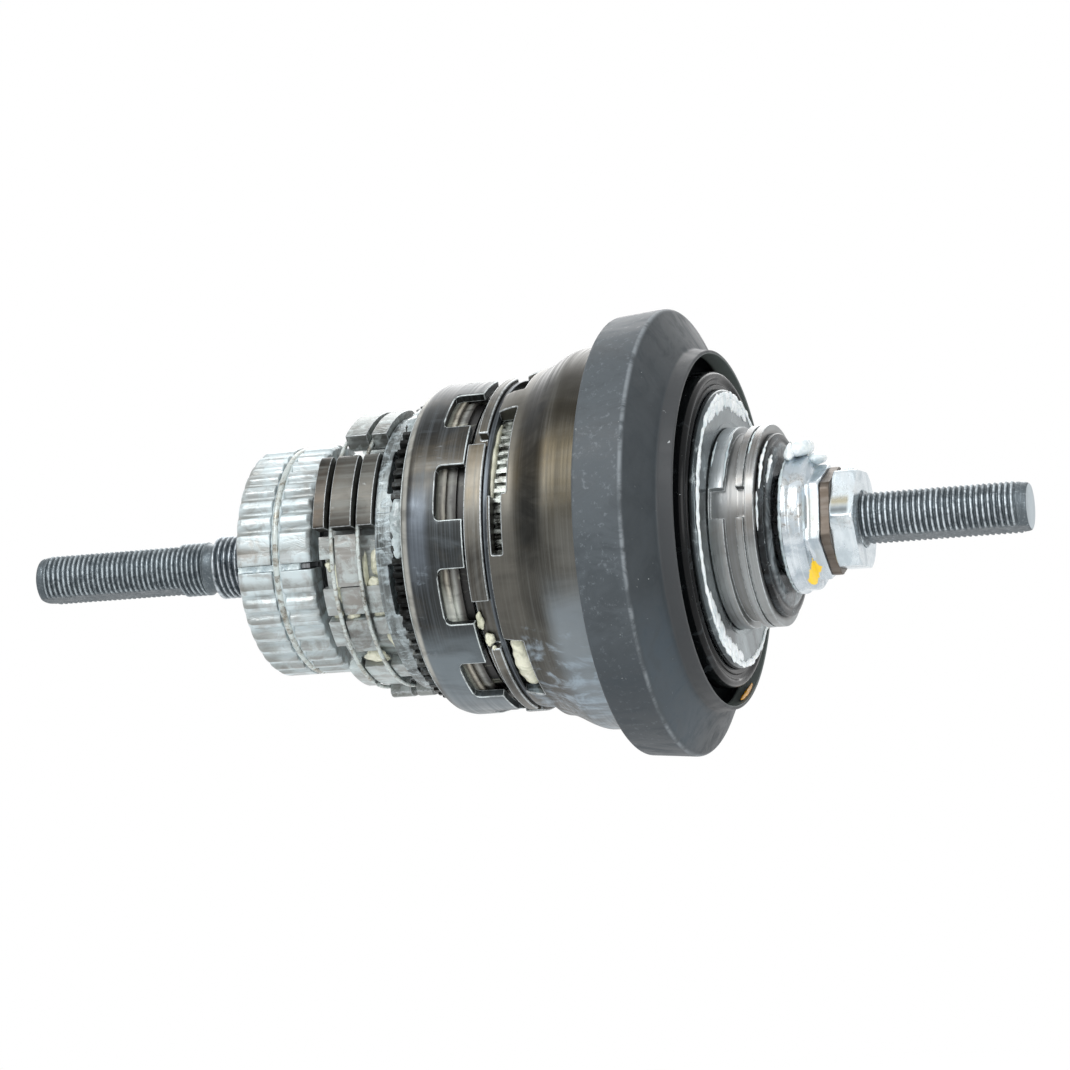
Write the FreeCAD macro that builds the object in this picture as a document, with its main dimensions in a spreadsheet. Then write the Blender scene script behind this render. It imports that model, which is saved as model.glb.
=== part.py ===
import FreeCAD, Part
import math
import os
import Sketcher

# Internal hub gear unit, millimetres.
# The axle lies along X, the drive side at +X, and the origin is on the axis half way along the axle.
# An angle "phi" is counted about X from +Z towards -Y, so phi 90 faces the front.
# Each sub-assembly is a chain of widths along X that starts at the brake's left face.

SIZES = {
    # axle
    "axle_length": 182.0,
    "thread_radius": 4.7625,
    "end_bevel": 0.8,
    "flat_across": 7.6,
    "flat_length": 28.0,
    "flat_phi": 164.0,
    "left_thread_length": 32.8,
    "neck_length": 2.6,
    "neck_radius": 4.35,
    "wide_thread_radius": 5.6,
    "anchor_seat_radius": 5.9,
    "shaft_radius": 6.5,
    "sleeve_seat_radius": 5.45,
    # brake shoes and the cam that spreads them
    "brake_offset": 45.0,
    "shoe_width": 14.1,
    "shoe_radius": 20.1,
    "shoe_inner_radius": 15.0,
    "shoe_chamfer": 1.2,
    "shoe_count": 4,
    "shoe_gap_angle": 3.6,
    "shoe_gap_phi": 92.0,
    "rib_count": 7,
    "rib_pitch_angle": 9.2,
    "rib_groove_angle": 2.6,
    "rib_groove_depth": 0.6,
    "rib_margin_angle": 12.0,
    "shoe_follower_radius": 12.8,
    "shoe_follower_angle": 8.0,
    "shoe_follower_inset": 1.0,
    "shoe_side_step": 0.2,
    "ring_groove_offset": 7.6,
    "ring_groove_width": 1.8,
    "ring_groove_depth": 1.9,
    "ring_wire_radius": 0.6,
    "ring_lift_clearance": 0.7,
    "ring_gap_angle": 7.0,
    "anchor_hub_radius": 10.0,
    "anchor_disc_radius": 17.5,
    "anchor_disc_inset": 0.4,
    "anchor_disc_width": 1.6,
    "anchor_key_radius": 18.7,
    "anchor_key_angle": 2.4,
    "anchor_key_clearance": 0.3,
    "anchor_key_inset": 0.6,
    "cam_half_width": 12.4,
    "cam_corner_radius": 14.4,
    "cam_bore_clearance": 0.1,
    "cam_end_clearance": 0.5,
    # pawl ring and pawls
    "pawl_ring_gap": 2.7,
    "row_left_width": 2.1,
    "row_groove_width": 1.0,
    "row_middle_width": 3.9,
    "row_right_width": 2.9,
    "ring_base_radius": 20.6,
    "ring_floor_depth": 2.2,
    "ring_core_setback": 0.4,
    "land_height": 2.3,
    "lug_height": 1.7,
    "pawl_height": 4.6,
    "pawl_clearance": 0.3,
    "pawl_groove_height": 1.9,
    "pawl_side_clearance": 0.1,
    "pawl_front_phi": 43.6,
    "pawl_front_angle": 33.7,
    "pawl_top_phi": -3.0,
    "pawl_top_angle": 36.0,
    "pawl_pivot_gap_angle": 0.9,
    "pawl_tip_gap_angle": 2.2,
    "pawl_pivot_radius": 1.3,
    "pawl_pivot_inset_angle": 4.0,
    "pawl_wire_radius": 0.36,
    "pawl_wire_gap_angle": 6.0,
    "pawl_wire_left_phi": 160.0,
    "pawl_wire_right_phi": 340.0,
    "first_land_phi": 79.6,
    "first_land_left_angle": 10.0,
    "first_land_middle_angle": 22.4,
    "lug_phi": 102.8,
    "lug_angle": 12.7,
    "low_lug_phi": 118.0,
    "low_lug_angle": 13.0,
    "low_lug_right_angle": 9.0,
    "low_block_phi": 146.0,
    "low_block_angle": 12.0,
    "carrier_bore_clearance": 0.1,
    # planet carrier
    "plate_width": 3.4,
    "plate_radius": 24.0,
    "plate_slot_count": 7,
    "plate_slot_angle": 24.0,
    "plate_slot_phi": 41.0,
    "plate_slot_depth": 2.4,
    "plate_slot_width": 1.5,
    "planet_count": 3,
    "planet_phi": 55.0,
    "planet_pin_radius": 2.2,
    "planet_bore_clearance": 0.06,
    "planet_pin_inset": 0.1,
    "planet_pin_bevel": 0.4,
    "pillar_inner_radius": 13.6,
    "pillar_outer_radius": 22.2,
    "pillar_angle": 40.0,
    "cage_plate_width": 3.0,
    "cage_plate_radius": 22.4,
    # gears
    "gear_module": 1.0,
    "pressure_angle": 25.0,
    "tooth_backlash": 0.26,
    "tooth_addendum": 0.8,
    "tooth_root_depth": 1.05,
    "locked_sun_teeth": 24,
    "planet_large_teeth": 15,
    "planet_small_teeth": 12,
    "gear_face": 5.0,
    "gear_end_clearance": 0.4,
    "sun_overhang": 0.4,
    "planet_neck_radius": 4.0,
    "ring_gear_overhang": 0.5,
    # window drum with the left ring gear
    "running_gap": 0.3,
    "ratchet_width": 2.4,
    "ratchet_radius": 26.1,
    "ratchet_teeth": 72,
    "ratchet_tooth_depth": 0.8,
    "drum_width": 11.5,
    "drum_radius": 29.0,
    "drum_rim_radius": 27.5,
    "drum_bevel_width": 2.7,
    "drum_wall": 1.4,
    "drum_flange_width": 0.8,
    "ratchet_seat_depth": 1.2,
    "window_count": 10,
    "window_angle": 19.5,
    "window_length": 5.0,
    "window_phi": 60.0,
    "liner_step": 0.5,
    # claw ring and cup of the driver
    "claw_width": 3.2,
    "claw_radius": 29.1,
    "claw_floor_radius": 27.2,
    "claw_bore_radius": 25.4,
    "claw_long_angle": 55.5,
    "claw_long_phi": 52.4,
    "claw_short_angle": 42.0,
    "claw_short_phi": 126.0,
    "claw_short_width": 1.8,
    "claw_pitch_count": 3,
    "circlip_width": 1.0,
    "circlip_radius": 28.5,
    "circlip_depth": 0.6,
    "circlip_gap_angle": 8.0,
    "circlip_gap_phi": 200.0,
    "cup_rim_radius": 29.2,
    "cup_bore_radius": 27.2,
    "cup_rim_width": 5.0,
    "cup_shoulder_width": 5.2,
    "cup_body_radius": 33.1,
    "cup_body_width": 12.0,
    "cup_wall": 1.9,
    "cup_bottom_width": 3.0,
    "cup_opening_angle": 33.8,
    "cup_opening_phi": 38.7,
    "cup_opening_width": 3.7,
    "cup_slot_angle": 20.1,
    "cup_slot_inset": 0.7,
    "cup_slot_width": 2.1,
    "cup_low_opening_angle": 26.0,
    "cup_low_opening_phi": 122.0,
    "spline_ring_width": 3.0,
    "spline_ring_radius": 27.0,
    "spline_ring_teeth": 96,
    "spline_tooth_depth": 0.7,
    # dust cap, seal and front plate
    "dust_cap_offset": 4.4,
    "dust_cap_rise": 5.5,
    "dust_cap_band": 8.5,
    "dust_cap_taper": 0.7,
    "dust_cap_edge": 0.5,
    "dust_cap_wall": 1.5,
    "dust_cap_face_width": 4.0,
    "dust_cap_face_drop": 7.3,
    "dust_cap_lip_width": 2.7,
    "dust_cap_lip_drop": 0.4,
    "dust_cap_lip_wall": 0.6,
    "dust_cap_collar_wall": 1.3,
    "dust_cap_collar_width": 4.5,
    "dust_cap_web_width": 1.6,
    "seal_inset": 3.7,
    "seal_height": 4.6,
    "seal_width": 3.2,
    "seal_bead_width": 1.3,
    "seal_edge": 0.5,
    "front_plate_inset": 3.2,
    "front_plate_width": 1.3,
    "front_plate_setback": 1.4,
    "front_plate_edge": 0.4,
    # driver nose
    "nose_radius": 17.3,
    "nose_floor_radius": 16.1,
    "nose_edge": 0.3,
    "nose_fine_groove_depth": 0.5,
    "nose_first_ring": 2.6,
    "nose_clip_groove": 2.1,
    "nose_second_ring": 1.3,
    "nose_fine_groove": 0.35,
    "nose_third_ring": 1.5,
    "notch_count": 3,
    "notch_angle": 17.5,
    "notch_phi": 66.0,
    "notch_setback": 0.2,
    "nose_bore_radius": 8.6,
    "nose_hub_wall": 2.0,
    "nose_spigot_length": 0.8,
    "race_length": 6.0,
    "nose_seal_radius": 15.8,
    "nose_seal_width": 1.5,
    "nose_seal_step": 0.5,
    # bearing, cone, washer and nut
    "ball_count": 9,
    "ball_radius": 2.38,
    "ball_circle_radius": 11.3,
    "ball_clearance": 0.03,
    "cage_half_height": 1.6,
    "cage_offset": 0.9,
    "cage_width": 1.8,
    "cone_flange_radius": 12.0,
    "cone_flange_width": 1.3,
    "cone_band_radius": 11.6,
    "cone_band_width": 2.4,
    "cone_setback": 2.9,
    "cone_hex_across": 17.5,
    "cone_hex_width": 2.5,
    "cone_hex_phi": 47.5,
    "cone_edge": 0.3,
    "cone_stem_clearance": 0.4,
    "cone_race_drop": 1.6,
    "washer_across": 16.6,
    "washer_width": 1.7,
    "washer_phi": 47.5,
    "nut_across": 16.2,
    "nut_width": 4.1,
    "nut_phi": 25.0,
    "hex_chamfer": 0.6,
    # selector inside the driver
    "sleeve_radius": 7.9,
    "sleeve_bore_clearance": 0.1,
    "sleeve_length": 13.0,
    "sleeve_wall_drop": 0.9,
    "sleeve_head_width": 2.4,
    "sleeve_head_clearance": 0.2,
    "sleeve_arm_length": 2.5,
    "sleeve_arm_phi": 100.0,
    "sleeve_arm_angle": 40.0,
    "sun_pawl_width": 3.6,
    "sun_pawl_phi": 255.0,
    "sun_pawl_angle": 57.0,
    "sun_pawl_slot_lead_angle": 10.0,
    "sun_pawl_slot_tail_angle": 7.0,
    "sun_pawl_inset": 0.7,
    "sun_pawl_lift": 0.7,
    "sun_pawl_tip_angle": 12.0,
    "sun_pawl_tip_inset": 0.4,
    "sun_notch_angle": 24.0,
    "sun_notch_lead_angle": 6.0,
    "sun_notch_count": 3,
    "sun_pawl_depth": 1.5,
    "sun_pawl_fold": 0.8,
    "sun_pawl_setback": 0.15,
    "sun_bore_clearance": 0.06,
    "return_wire_radius": 0.45,
    "return_coil_radius": 7.3,
    "return_turns": 4.0,
    "return_pitch": 1.25,
    "return_clearance": 1.1,
}

# A cut runs past the face that it opens by this much, and a raised block starts this far inside its base.
OVERCUT = 1.0
SUNK = 0.5


class Size:
    """A length or an angle: its number now, and the sheet expression that it comes from."""

    def __init__(self, value, text):
        self.value = float(value)
        self.text = text

    def __add__(self, other):
        other = as_size(other)
        return Size(self.value + other.value, "%s + %s" % (self.text, other.text))

    def __sub__(self, other):
        other = as_size(other)
        return Size(self.value - other.value, "%s - (%s)" % (self.text, other.text))

    def __mul__(self, number):
        return Size(self.value * number, "(%s) * %s" % (self.text, repr(float(number))))

    def __truediv__(self, number):
        return Size(self.value / number, "(%s) / %s" % (self.text, repr(float(number))))

    def __neg__(self):
        return Size(-self.value, "-(%s)" % self.text)


def as_size(thing):
    """A plain number counts as a size that no cell drives."""
    if isinstance(thing, Size):
        return thing
    return Size(thing, repr(float(thing)))


def cell(name):
    return Size(SIZES[name], "Sheet." + name)


document = FreeCAD.newDocument("HubGearUnit")
sheet = document.addObject("Spreadsheet::Sheet", "Sheet")
for row, (alias, number) in enumerate(SIZES.items(), start=1):
    sheet.set("A%d" % row, alias)
    sheet.set("B%d" % row, repr(number))
    sheet.setAlias("B%d" % row, alias)
document.recompute()

sub_parts = []


# Helpers that draw, revolve and cut

def bind(thing, attribute, size):
    """Give an object's property its number and the expression that keeps it."""
    size = as_size(size)
    thing.setExpression(attribute, size.text)


def new_body(name):
    body = document.addObject("PartDesign::Body", name)
    body.Label = name
    sub_parts.append(body)
    return body


def origin_feature(body, role):
    return [feature for feature in body.Origin.OriginFeatures if feature.Role == role][0]


def new_sketch(body, name, role):
    sketch = body.newObject("Sketcher::SketchObject", name)
    sketch.AttachmentSupport = [(origin_feature(body, role), "")]
    sketch.MapMode = "FlatFace"
    return sketch


def axial_sketch(body, name, outline, phi=0.0):
    """A closed outline of (x, radius) corners in the half plane at phi.
    A corner with four values is the end of an arc through (x, radius) of its last two."""
    sketch = new_sketch(body, name, "XZ_Plane")
    phi = as_size(phi)
    sketch.AttachmentOffset = FreeCAD.Placement(
        FreeCAD.Vector(0, 0, 0), FreeCAD.Rotation(FreeCAD.Vector(1, 0, 0), phi.value))
    if phi.text.startswith("Sheet") or "(" in phi.text:
        sketch.setExpression("AttachmentOffset.Rotation.Angle", phi.text)
    corners = [[as_size(value) for value in corner] for corner in outline]
    count = len(corners)
    for index in range(count):
        start = corners[index]
        end = corners[(index + 1) % count]
        first = FreeCAD.Vector(start[0].value, start[1].value, 0)
        last = FreeCAD.Vector(end[0].value, end[1].value, 0)
        if len(end) == 4:
            middle = FreeCAD.Vector(end[2].value, end[3].value, 0)
            sketch.addGeometry(Part.Arc(first, middle, last))
        else:
            sketch.addGeometry(Part.LineSegment(first, last))
    for index in range(count):
        is_arc = len(corners[(index + 1) % count]) == 4
        next_is_arc = len(corners[(index + 2) % count]) == 4
        end_point = arc_end(corners, index) if is_arc else 2
        start_point = arc_start(corners, (index + 1) % count) if next_is_arc else 1
        sketch.addConstraint(Sketcher.Constraint(
            "Coincident", index, end_point, (index + 1) % count, start_point))
    for index, corner in enumerate(corners):
        is_arc = len(corners[(index + 1) % count]) == 4
        point = arc_start(corners, index) if is_arc else 1
        for kind, size in (("DistanceX", corner[0]), ("DistanceY", corner[1])):
            number = sketch.addConstraint(
                Sketcher.Constraint(kind, -1, 1, index, point, size.value))
            sketch.setExpression("Constraints[%d]" % number, size.text)
    return sketch


def arc_turns_left(corners, index):
    """Whether the arc after this corner runs anticlockwise."""
    start = corners[index]
    end = corners[(index + 1) % len(corners)]
    along = (end[0].value - start[0].value, end[1].value - start[1].value)
    aside = (end[2].value - start[0].value, end[3].value - start[1].value)
    return along[0] * aside[1] - along[1] * aside[0] < 0


def arc_start(corners, index):
    return 1 if arc_turns_left(corners, index) else 2


def arc_end(corners, index):
    return 2 if arc_turns_left(corners, index) else 1


def revolve(body, name, outline, phi=0.0, angle=360.0):
    """Add an outline turned about the axis, from phi on by an angle."""
    sketch = axial_sketch(body, name + "_outline", outline, phi)
    feature = body.newObject("PartDesign::Revolution", name)
    feature.Profile = sketch
    feature.ReferenceAxis = (sketch, ["H_Axis"])
    bind(feature, "Angle", angle)
    return feature


def groove(body, name, outline, phi=0.0, angle=360.0):
    """Cut an outline turned about the axis, from phi on by an angle."""
    sketch = axial_sketch(body, name + "_outline", outline, phi)
    feature = body.newObject("PartDesign::Groove", name)
    feature.Profile = sketch
    feature.ReferenceAxis = (sketch, ["H_Axis"])
    bind(feature, "Angle", angle)
    return feature


def around(body, name, features, count, angle=360.0):
    """Repeat features about the axle."""
    pattern = body.newObject("PartDesign::PolarPattern", name)
    pattern.Originals = features
    pattern.Axis = (origin_feature(body, "X_Axis"), [""])
    bind(pattern, "Angle", angle)
    bind(pattern, "Occurrences", count)
    body.Tip = pattern
    return pattern


def box_outline(left, right, low, high):
    """A rectangle in the (x, radius) half plane."""
    return [(left, low), (right, low), (right, high), (left, high)]


def polar_point(radius, phi):
    """A point of the plane across the axle, as its (Y, Z)."""
    angle = math.radians(phi)
    return (-radius * math.sin(angle), radius * math.cos(angle))


def cross_sketch(body, name, points, station):
    """A closed polygon of (Y, Z) points in the plane across the axle at a station."""
    sketch = new_sketch(body, name, "YZ_Plane")
    station = as_size(station)
    sketch.AttachmentOffset = FreeCAD.Placement(
        FreeCAD.Vector(0, 0, station.value), FreeCAD.Rotation())
    sketch.setExpression("AttachmentOffset.Base.z", station.text)
    for index, point in enumerate(points):
        following = points[(index + 1) % len(points)]
        sketch.addGeometry(Part.LineSegment(
            FreeCAD.Vector(point[0], point[1], 0), FreeCAD.Vector(following[0], following[1], 0)))
    for index in range(len(points)):
        sketch.addConstraint(Sketcher.Constraint(
            "Coincident", index, 2, (index + 1) % len(points), 1))
    return sketch


def cut_back(body, name, points, station, length):
    """Pocket a polygon from a station towards -X."""
    sketch = cross_sketch(body, name + "_outline", points, station)
    feature = body.newObject("PartDesign::Pocket", name)
    feature.Profile = sketch
    bind(feature, "Length", length)
    return feature


def pad_on(body, name, points, station, length):
    """Raise a polygon from a station towards +X."""
    sketch = cross_sketch(body, name + "_outline", points, station)
    feature = body.newObject("PartDesign::Pad", name)
    feature.Profile = sketch
    bind(feature, "Length", length)
    return feature


def circle_sketch(body, name, center, radius, station):
    """A circle about a (Y, Z) centre in the plane across the axle at a station."""
    sketch = new_sketch(body, name, "YZ_Plane")
    sketch.AttachmentOffset = FreeCAD.Placement(FreeCAD.Vector(0, 0, station.value), FreeCAD.Rotation())
    sketch.setExpression("AttachmentOffset.Base.z", station.text)
    sketch.addGeometry(Part.Circle(
        FreeCAD.Vector(center[0], center[1], 0), FreeCAD.Vector(0, 0, 1), radius.value))
    number = sketch.addConstraint(Sketcher.Constraint("Radius", 0, radius.value))
    sketch.setExpression("Constraints[%d]" % number, radius.text)
    return sketch


def round_boss(body, name, center, radius, left, right):
    """A cylinder along X from left to right about a (Y, Z) centre."""
    pad = body.newObject("PartDesign::Pad", name)
    pad.Profile = circle_sketch(body, name + "_outline", center, radius, left)
    bind(pad, "Length", right - left)


def hexagon(across, phi=0.0):
    radius = across / math.sqrt(3.0)
    return [polar_point(radius, phi + 60.0 * corner) for corner in range(6)]


# Gear teeth. A flank is drawn through four radii: the root, two by the pitch circle, and one past the tip.

TIP_OVERCUT = 0.25
TIP_SHARE = 0.3
ROOT_SHARE = 0.35


def involute(angle):
    return math.tan(angle) - angle


def tooth_half_angle(teeth, radius, thinning):
    """Half the angle, in degrees, that an involute tooth spans at a radius."""
    pitch_radius = teeth * SIZES["gear_module"] / 2
    pressure = math.radians(SIZES["pressure_angle"])
    base_radius = pitch_radius * math.cos(pressure)
    local = math.acos(base_radius / max(radius, base_radius))
    half = math.pi / (2 * teeth) - thinning / (2 * pitch_radius)
    return math.degrees(half + involute(pressure) - involute(local))


def outer_gap(teeth, phi):
    """The space between two teeth of an outside gear, centred on phi."""
    pitch_radius = teeth * SIZES["gear_module"] / 2
    low = pitch_radius - SIZES["tooth_root_depth"] * SIZES["gear_module"]
    high = pitch_radius + (SIZES["tooth_addendum"] + TIP_OVERCUT) * SIZES["gear_module"]
    radii = [low, pitch_radius - ROOT_SHARE * SIZES["gear_module"],
             pitch_radius + TIP_SHARE * SIZES["gear_module"], high]
    halves = [180.0 / teeth - tooth_half_angle(teeth, radius, SIZES["tooth_backlash"] / 2)
              for radius in radii]
    left = [polar_point(radius, phi - half) for radius, half in zip(radii, halves)]
    right = [polar_point(radius, phi + half) for radius, half in zip(radii, halves)]
    return left + right[::-1]


def inner_gap(teeth, phi):
    """The space between two teeth of an inside gear, centred on phi."""
    pitch_radius = teeth * SIZES["gear_module"] / 2
    low = pitch_radius - (SIZES["tooth_addendum"] + TIP_OVERCUT) * SIZES["gear_module"]
    high = pitch_radius + SIZES["tooth_root_depth"] * SIZES["gear_module"]
    radii = [low, pitch_radius - TIP_SHARE * SIZES["gear_module"],
             pitch_radius + ROOT_SHARE * SIZES["gear_module"], high]
    halves = [tooth_half_angle(teeth, radius, -SIZES["tooth_backlash"] / 2) for radius in radii]
    left = [polar_point(radius, phi - half) for radius, half in zip(radii, halves)]
    right = [polar_point(radius, phi + half) for radius, half in zip(radii, halves)]
    return left + right[::-1]


def fine_gap(teeth, radius, depth, phi):
    """The space between two fine triangular teeth on a rim."""
    floor_half = 0.25 * 180.0 / teeth
    mouth_half = 0.75 * 180.0 / teeth
    mouth = radius + 0.3
    return [polar_point(radius - depth, phi - floor_half),
            polar_point(mouth, phi - mouth_half),
            polar_point(mouth, phi + mouth_half),
            polar_point(radius - depth, phi + floor_half)]


# Stations along the axle

half_axle = cell("axle_length") / 2
neck_left = -half_axle + cell("left_thread_length")
wide_thread_left = neck_left + cell("neck_length")
shoe_left = -cell("brake_offset")
shoe_right = shoe_left + cell("shoe_width")
shaft_left = shoe_right - cell("shoe_width") / 2
anchor_left = shoe_left + cell("anchor_disc_inset")
anchor_disc_right = anchor_left + cell("anchor_disc_width")
row_left = shoe_right + cell("pawl_ring_gap")
ring_core_left = row_left + cell("ring_core_setback")
wire_left = row_left + cell("row_left_width")
row_middle = wire_left + cell("row_groove_width")
wire_right = row_middle + cell("row_middle_width")
row_right = wire_right + cell("row_groove_width")
plate_left = row_right + cell("row_right_width")
plate_right = plate_left + cell("plate_width")
ratchet_left = plate_right + cell("running_gap")
drum_left = ratchet_left + cell("ratchet_width")
drum_right = drum_left + cell("drum_width")
claw_left = drum_right + cell("running_gap")
circlip_left = claw_left + cell("claw_width")
cup_left = circlip_left + cell("circlip_width")
shoulder_left = cup_left + cell("cup_rim_width")
cup_body_left = shoulder_left + cell("cup_shoulder_width")
cup_right = cup_body_left + cell("cup_body_width")
dust_cap_left = cup_right - cell("dust_cap_offset")
dust_cap_ridge = dust_cap_left + cell("dust_cap_band")
dust_cap_face = dust_cap_ridge + cell("dust_cap_face_width")
dust_cap_lip = dust_cap_face + cell("dust_cap_lip_width")
front_plate_right = dust_cap_lip + cell("front_plate_setback") + cell("front_plate_width") / 2
front_plate_left = front_plate_right - cell("front_plate_width")
clip_groove_left = front_plate_right + cell("nose_first_ring")
second_ring_left = clip_groove_left + cell("nose_clip_groove")
fine_groove_left = second_ring_left + cell("nose_second_ring")
third_ring_left = fine_groove_left + cell("nose_fine_groove")
nose_right = third_ring_left + cell("nose_third_ring")
race_left = nose_right - cell("race_length")
ball_station = race_left + cell("ball_radius")
cone_flange_left = nose_right + cell("cone_setback")
cone_band_left = cone_flange_left + cell("cone_flange_width")
cone_hex_left = cone_band_left + cell("cone_band_width")
washer_left = cone_hex_left + cell("cone_hex_width")
nut_left = washer_left + cell("washer_width")
nut_right = nut_left + cell("nut_width")
left_gear_right = drum_right - cell("window_length") - cell("running_gap")
left_gear_left = left_gear_right - cell("gear_face")
spline_right = cup_left + cell("spline_ring_width")
right_ring_left = spline_right
right_gear_left = right_ring_left + cell("ring_gear_overhang")
right_gear_right = right_gear_left + cell("gear_face")
right_ring_right = right_gear_right + cell("ring_gear_overhang")
cage_plate_left = right_ring_right + cell("gear_end_clearance") + cell("running_gap")
cage_plate_right = cage_plate_left + cell("cage_plate_width")
left_pawl_left = left_gear_left + cell("sun_pawl_inset")
right_pawl_left = right_gear_left + cell("sun_pawl_inset")

# Radii that follow from others

ring_floor_radius = cell("ring_base_radius") - cell("ring_floor_depth")
land_radius = cell("ring_base_radius") + cell("land_height")
lug_radius = cell("ring_base_radius") + cell("lug_height")
pawl_inner_radius = cell("ring_base_radius") + cell("pawl_clearance")
pawl_radius = cell("ring_base_radius") + cell("pawl_height")
pawl_groove_radius = cell("ring_base_radius") + cell("pawl_groove_height")
dust_cap_radius = cell("cup_body_radius") + cell("dust_cap_rise")
dust_cap_face_radius = dust_cap_radius - cell("dust_cap_face_drop")
dust_cap_lip_radius = dust_cap_face_radius - cell("dust_cap_lip_drop")
seal_radius = dust_cap_lip_radius - cell("seal_inset")
seal_inner_radius = seal_radius - cell("seal_height")
front_plate_radius = seal_radius - cell("front_plate_inset")
nose_hub_radius = cell("nose_bore_radius") + cell("nose_hub_wall")
race_radius = cell("ball_circle_radius") + cell("ball_radius") + cell("ball_clearance")
cone_stem_radius = (cell("ball_circle_radius") - cell("ball_radius") - cell("ball_clearance")
                    - cell("cone_stem_clearance"))

# Gear sizes that follow from the teeth

module = SIZES["gear_module"]
center_distance = (cell("locked_sun_teeth") + cell("planet_small_teeth")) * (module / 2)
free_sun_teeth = SIZES["locked_sun_teeth"] + SIZES["planet_small_teeth"] - SIZES["planet_large_teeth"]
right_ring_teeth = SIZES["locked_sun_teeth"] + 2 * SIZES["planet_small_teeth"]
left_ring_teeth = free_sun_teeth + 2 * SIZES["planet_large_teeth"]


def pitch_radius_of(teeth):
    """Pitch radius; teeth may be a cell's name or a count that follows from the others."""
    if isinstance(teeth, str):
        return cell(teeth) * (module / 2)
    return as_size(teeth * module / 2)


def tip_radius(teeth):
    return pitch_radius_of(teeth) + cell("tooth_addendum") * module


def inner_tip_radius(teeth):
    return pitch_radius_of(teeth) - cell("tooth_addendum") * module


# Axle

def make_axle():
    body = new_body("axle")
    thread = cell("thread_radius")
    bevel = cell("end_bevel")
    crown = bevel * 0.4
    right_thread_left = race_left - cell("running_gap")
    sleeve_seat_left = cage_plate_left
    revolve(body, "turned_bar", [
        (-half_axle, 0.0), (half_axle, 0.0), (half_axle, thread - bevel),
        (half_axle - bevel, thread, half_axle - crown, thread - crown),
        (right_thread_left, thread), (right_thread_left, cell("sleeve_seat_radius")),
        (sleeve_seat_left, cell("sleeve_seat_radius")), (sleeve_seat_left, cell("shaft_radius")),
        (shaft_left, cell("shaft_radius")), (shaft_left, cell("anchor_seat_radius")),
        (anchor_left, cell("anchor_seat_radius")), (anchor_left, cell("wide_thread_radius")),
        (wide_thread_left, cell("wide_thread_radius")), (wide_thread_left, cell("neck_radius")),
        (neck_left, cell("neck_radius")), (neck_left, thread),
        (-half_axle + bevel, thread),
        (-half_axle, thread - bevel, -half_axle + crown, thread - crown)])
    half_flat = SIZES["flat_across"] / 2
    reach = SIZES["thread_radius"] + OVERCUT
    for side in (0, 1):
        phi = SIZES["flat_phi"] + 180.0 * side
        toward = polar_point(1.0, phi)
        across = polar_point(1.0, phi + 90.0)
        strip = [(toward[0] * depth + across[0] * width, toward[1] * depth + across[1] * width)
                 for depth, width in ((half_flat, -reach), (reach, -reach),
                                      (reach, reach), (half_flat, reach))]
        length = cell("flat_length") + OVERCUT
        cut_back(body, "right_flat_%d" % side, strip, half_axle + OVERCUT, length)
        cut_back(body, "left_flat_%d" % side, strip, -half_axle + cell("flat_length"), length)
    make_sun_pawl_slots(body)


def make_sun_pawl_slots(body):
    """Slots across the shaft in which the two sun pawls lie."""
    depth = cell("sun_pawl_depth") + cell("sun_pawl_fold") + cell("sun_pawl_setback")
    for name, left in (("left", left_pawl_left), ("right", right_pawl_left)):
        groove(body, "sun_pawl_slot_" + name, box_outline(
            left - cell("running_gap") / 2, left + cell("sun_pawl_width") + cell("running_gap") / 2,
            cell("shaft_radius") - depth, cell("shaft_radius") + OVERCUT),
            phi=cell("sun_pawl_phi") - cell("sun_pawl_slot_lead_angle"),
            angle=cell("sun_pawl_angle") + cell("sun_pawl_slot_lead_angle")
            + cell("sun_pawl_slot_tail_angle"))


# Brake

def make_brake_anchor():
    """Carries the shoes: a hub on the wide thread, a disc and the keys between the shoes."""
    body = new_body("brake_anchor")
    hub_right = shoe_right + cell("cam_end_clearance")
    revolve(body, "anchor_hub", [
        (anchor_left, cell("anchor_seat_radius")), (shaft_left, cell("anchor_seat_radius")),
        (shaft_left, cell("shaft_radius")), (hub_right, cell("shaft_radius")),
        (hub_right, cell("anchor_hub_radius")), (anchor_disc_right, cell("anchor_hub_radius")),
        (anchor_disc_right, cell("anchor_disc_radius")), (anchor_left, cell("anchor_disc_radius"))])
    key = revolve(body, "anchor_key", box_outline(
        anchor_left, shoe_right - cell("anchor_key_inset"),
        cell("cam_corner_radius") + SUNK, cell("anchor_key_radius")),
        phi=cell("shoe_gap_phi") - cell("anchor_key_angle") / 2, angle=cell("anchor_key_angle"))
    around(body, "anchor_keys", [key], cell("shoe_count"))


def make_brake_cam():
    """A square cam with rounded corners: turned, it spreads the shoes."""
    body = new_body("brake_cam")
    left = anchor_disc_right + cell("cam_end_clearance")
    right = shoe_right
    bore = cell("anchor_hub_radius") + cell("cam_bore_clearance")
    revolve(body, "cam_round", box_outline(left, right, bore, cell("cam_corner_radius")))
    flat = SIZES["cam_half_width"]
    reach = SIZES["cam_corner_radius"] + OVERCUT
    shoe_phi = SIZES["shoe_gap_phi"] + 180.0 / SIZES["shoe_count"]
    toward = polar_point(1.0, shoe_phi)
    across = polar_point(1.0, shoe_phi + 90.0)
    strip = [(toward[0] * depth + across[0] * width, toward[1] * depth + across[1] * width)
             for depth, width in ((flat, -reach), (reach, -reach), (reach, reach), (flat, reach))]
    side = cut_back(body, "cam_flat", strip, right + OVERCUT, right - left + 2 * OVERCUT)
    around(body, "cam_flats", [side], cell("shoe_count"))


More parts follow.
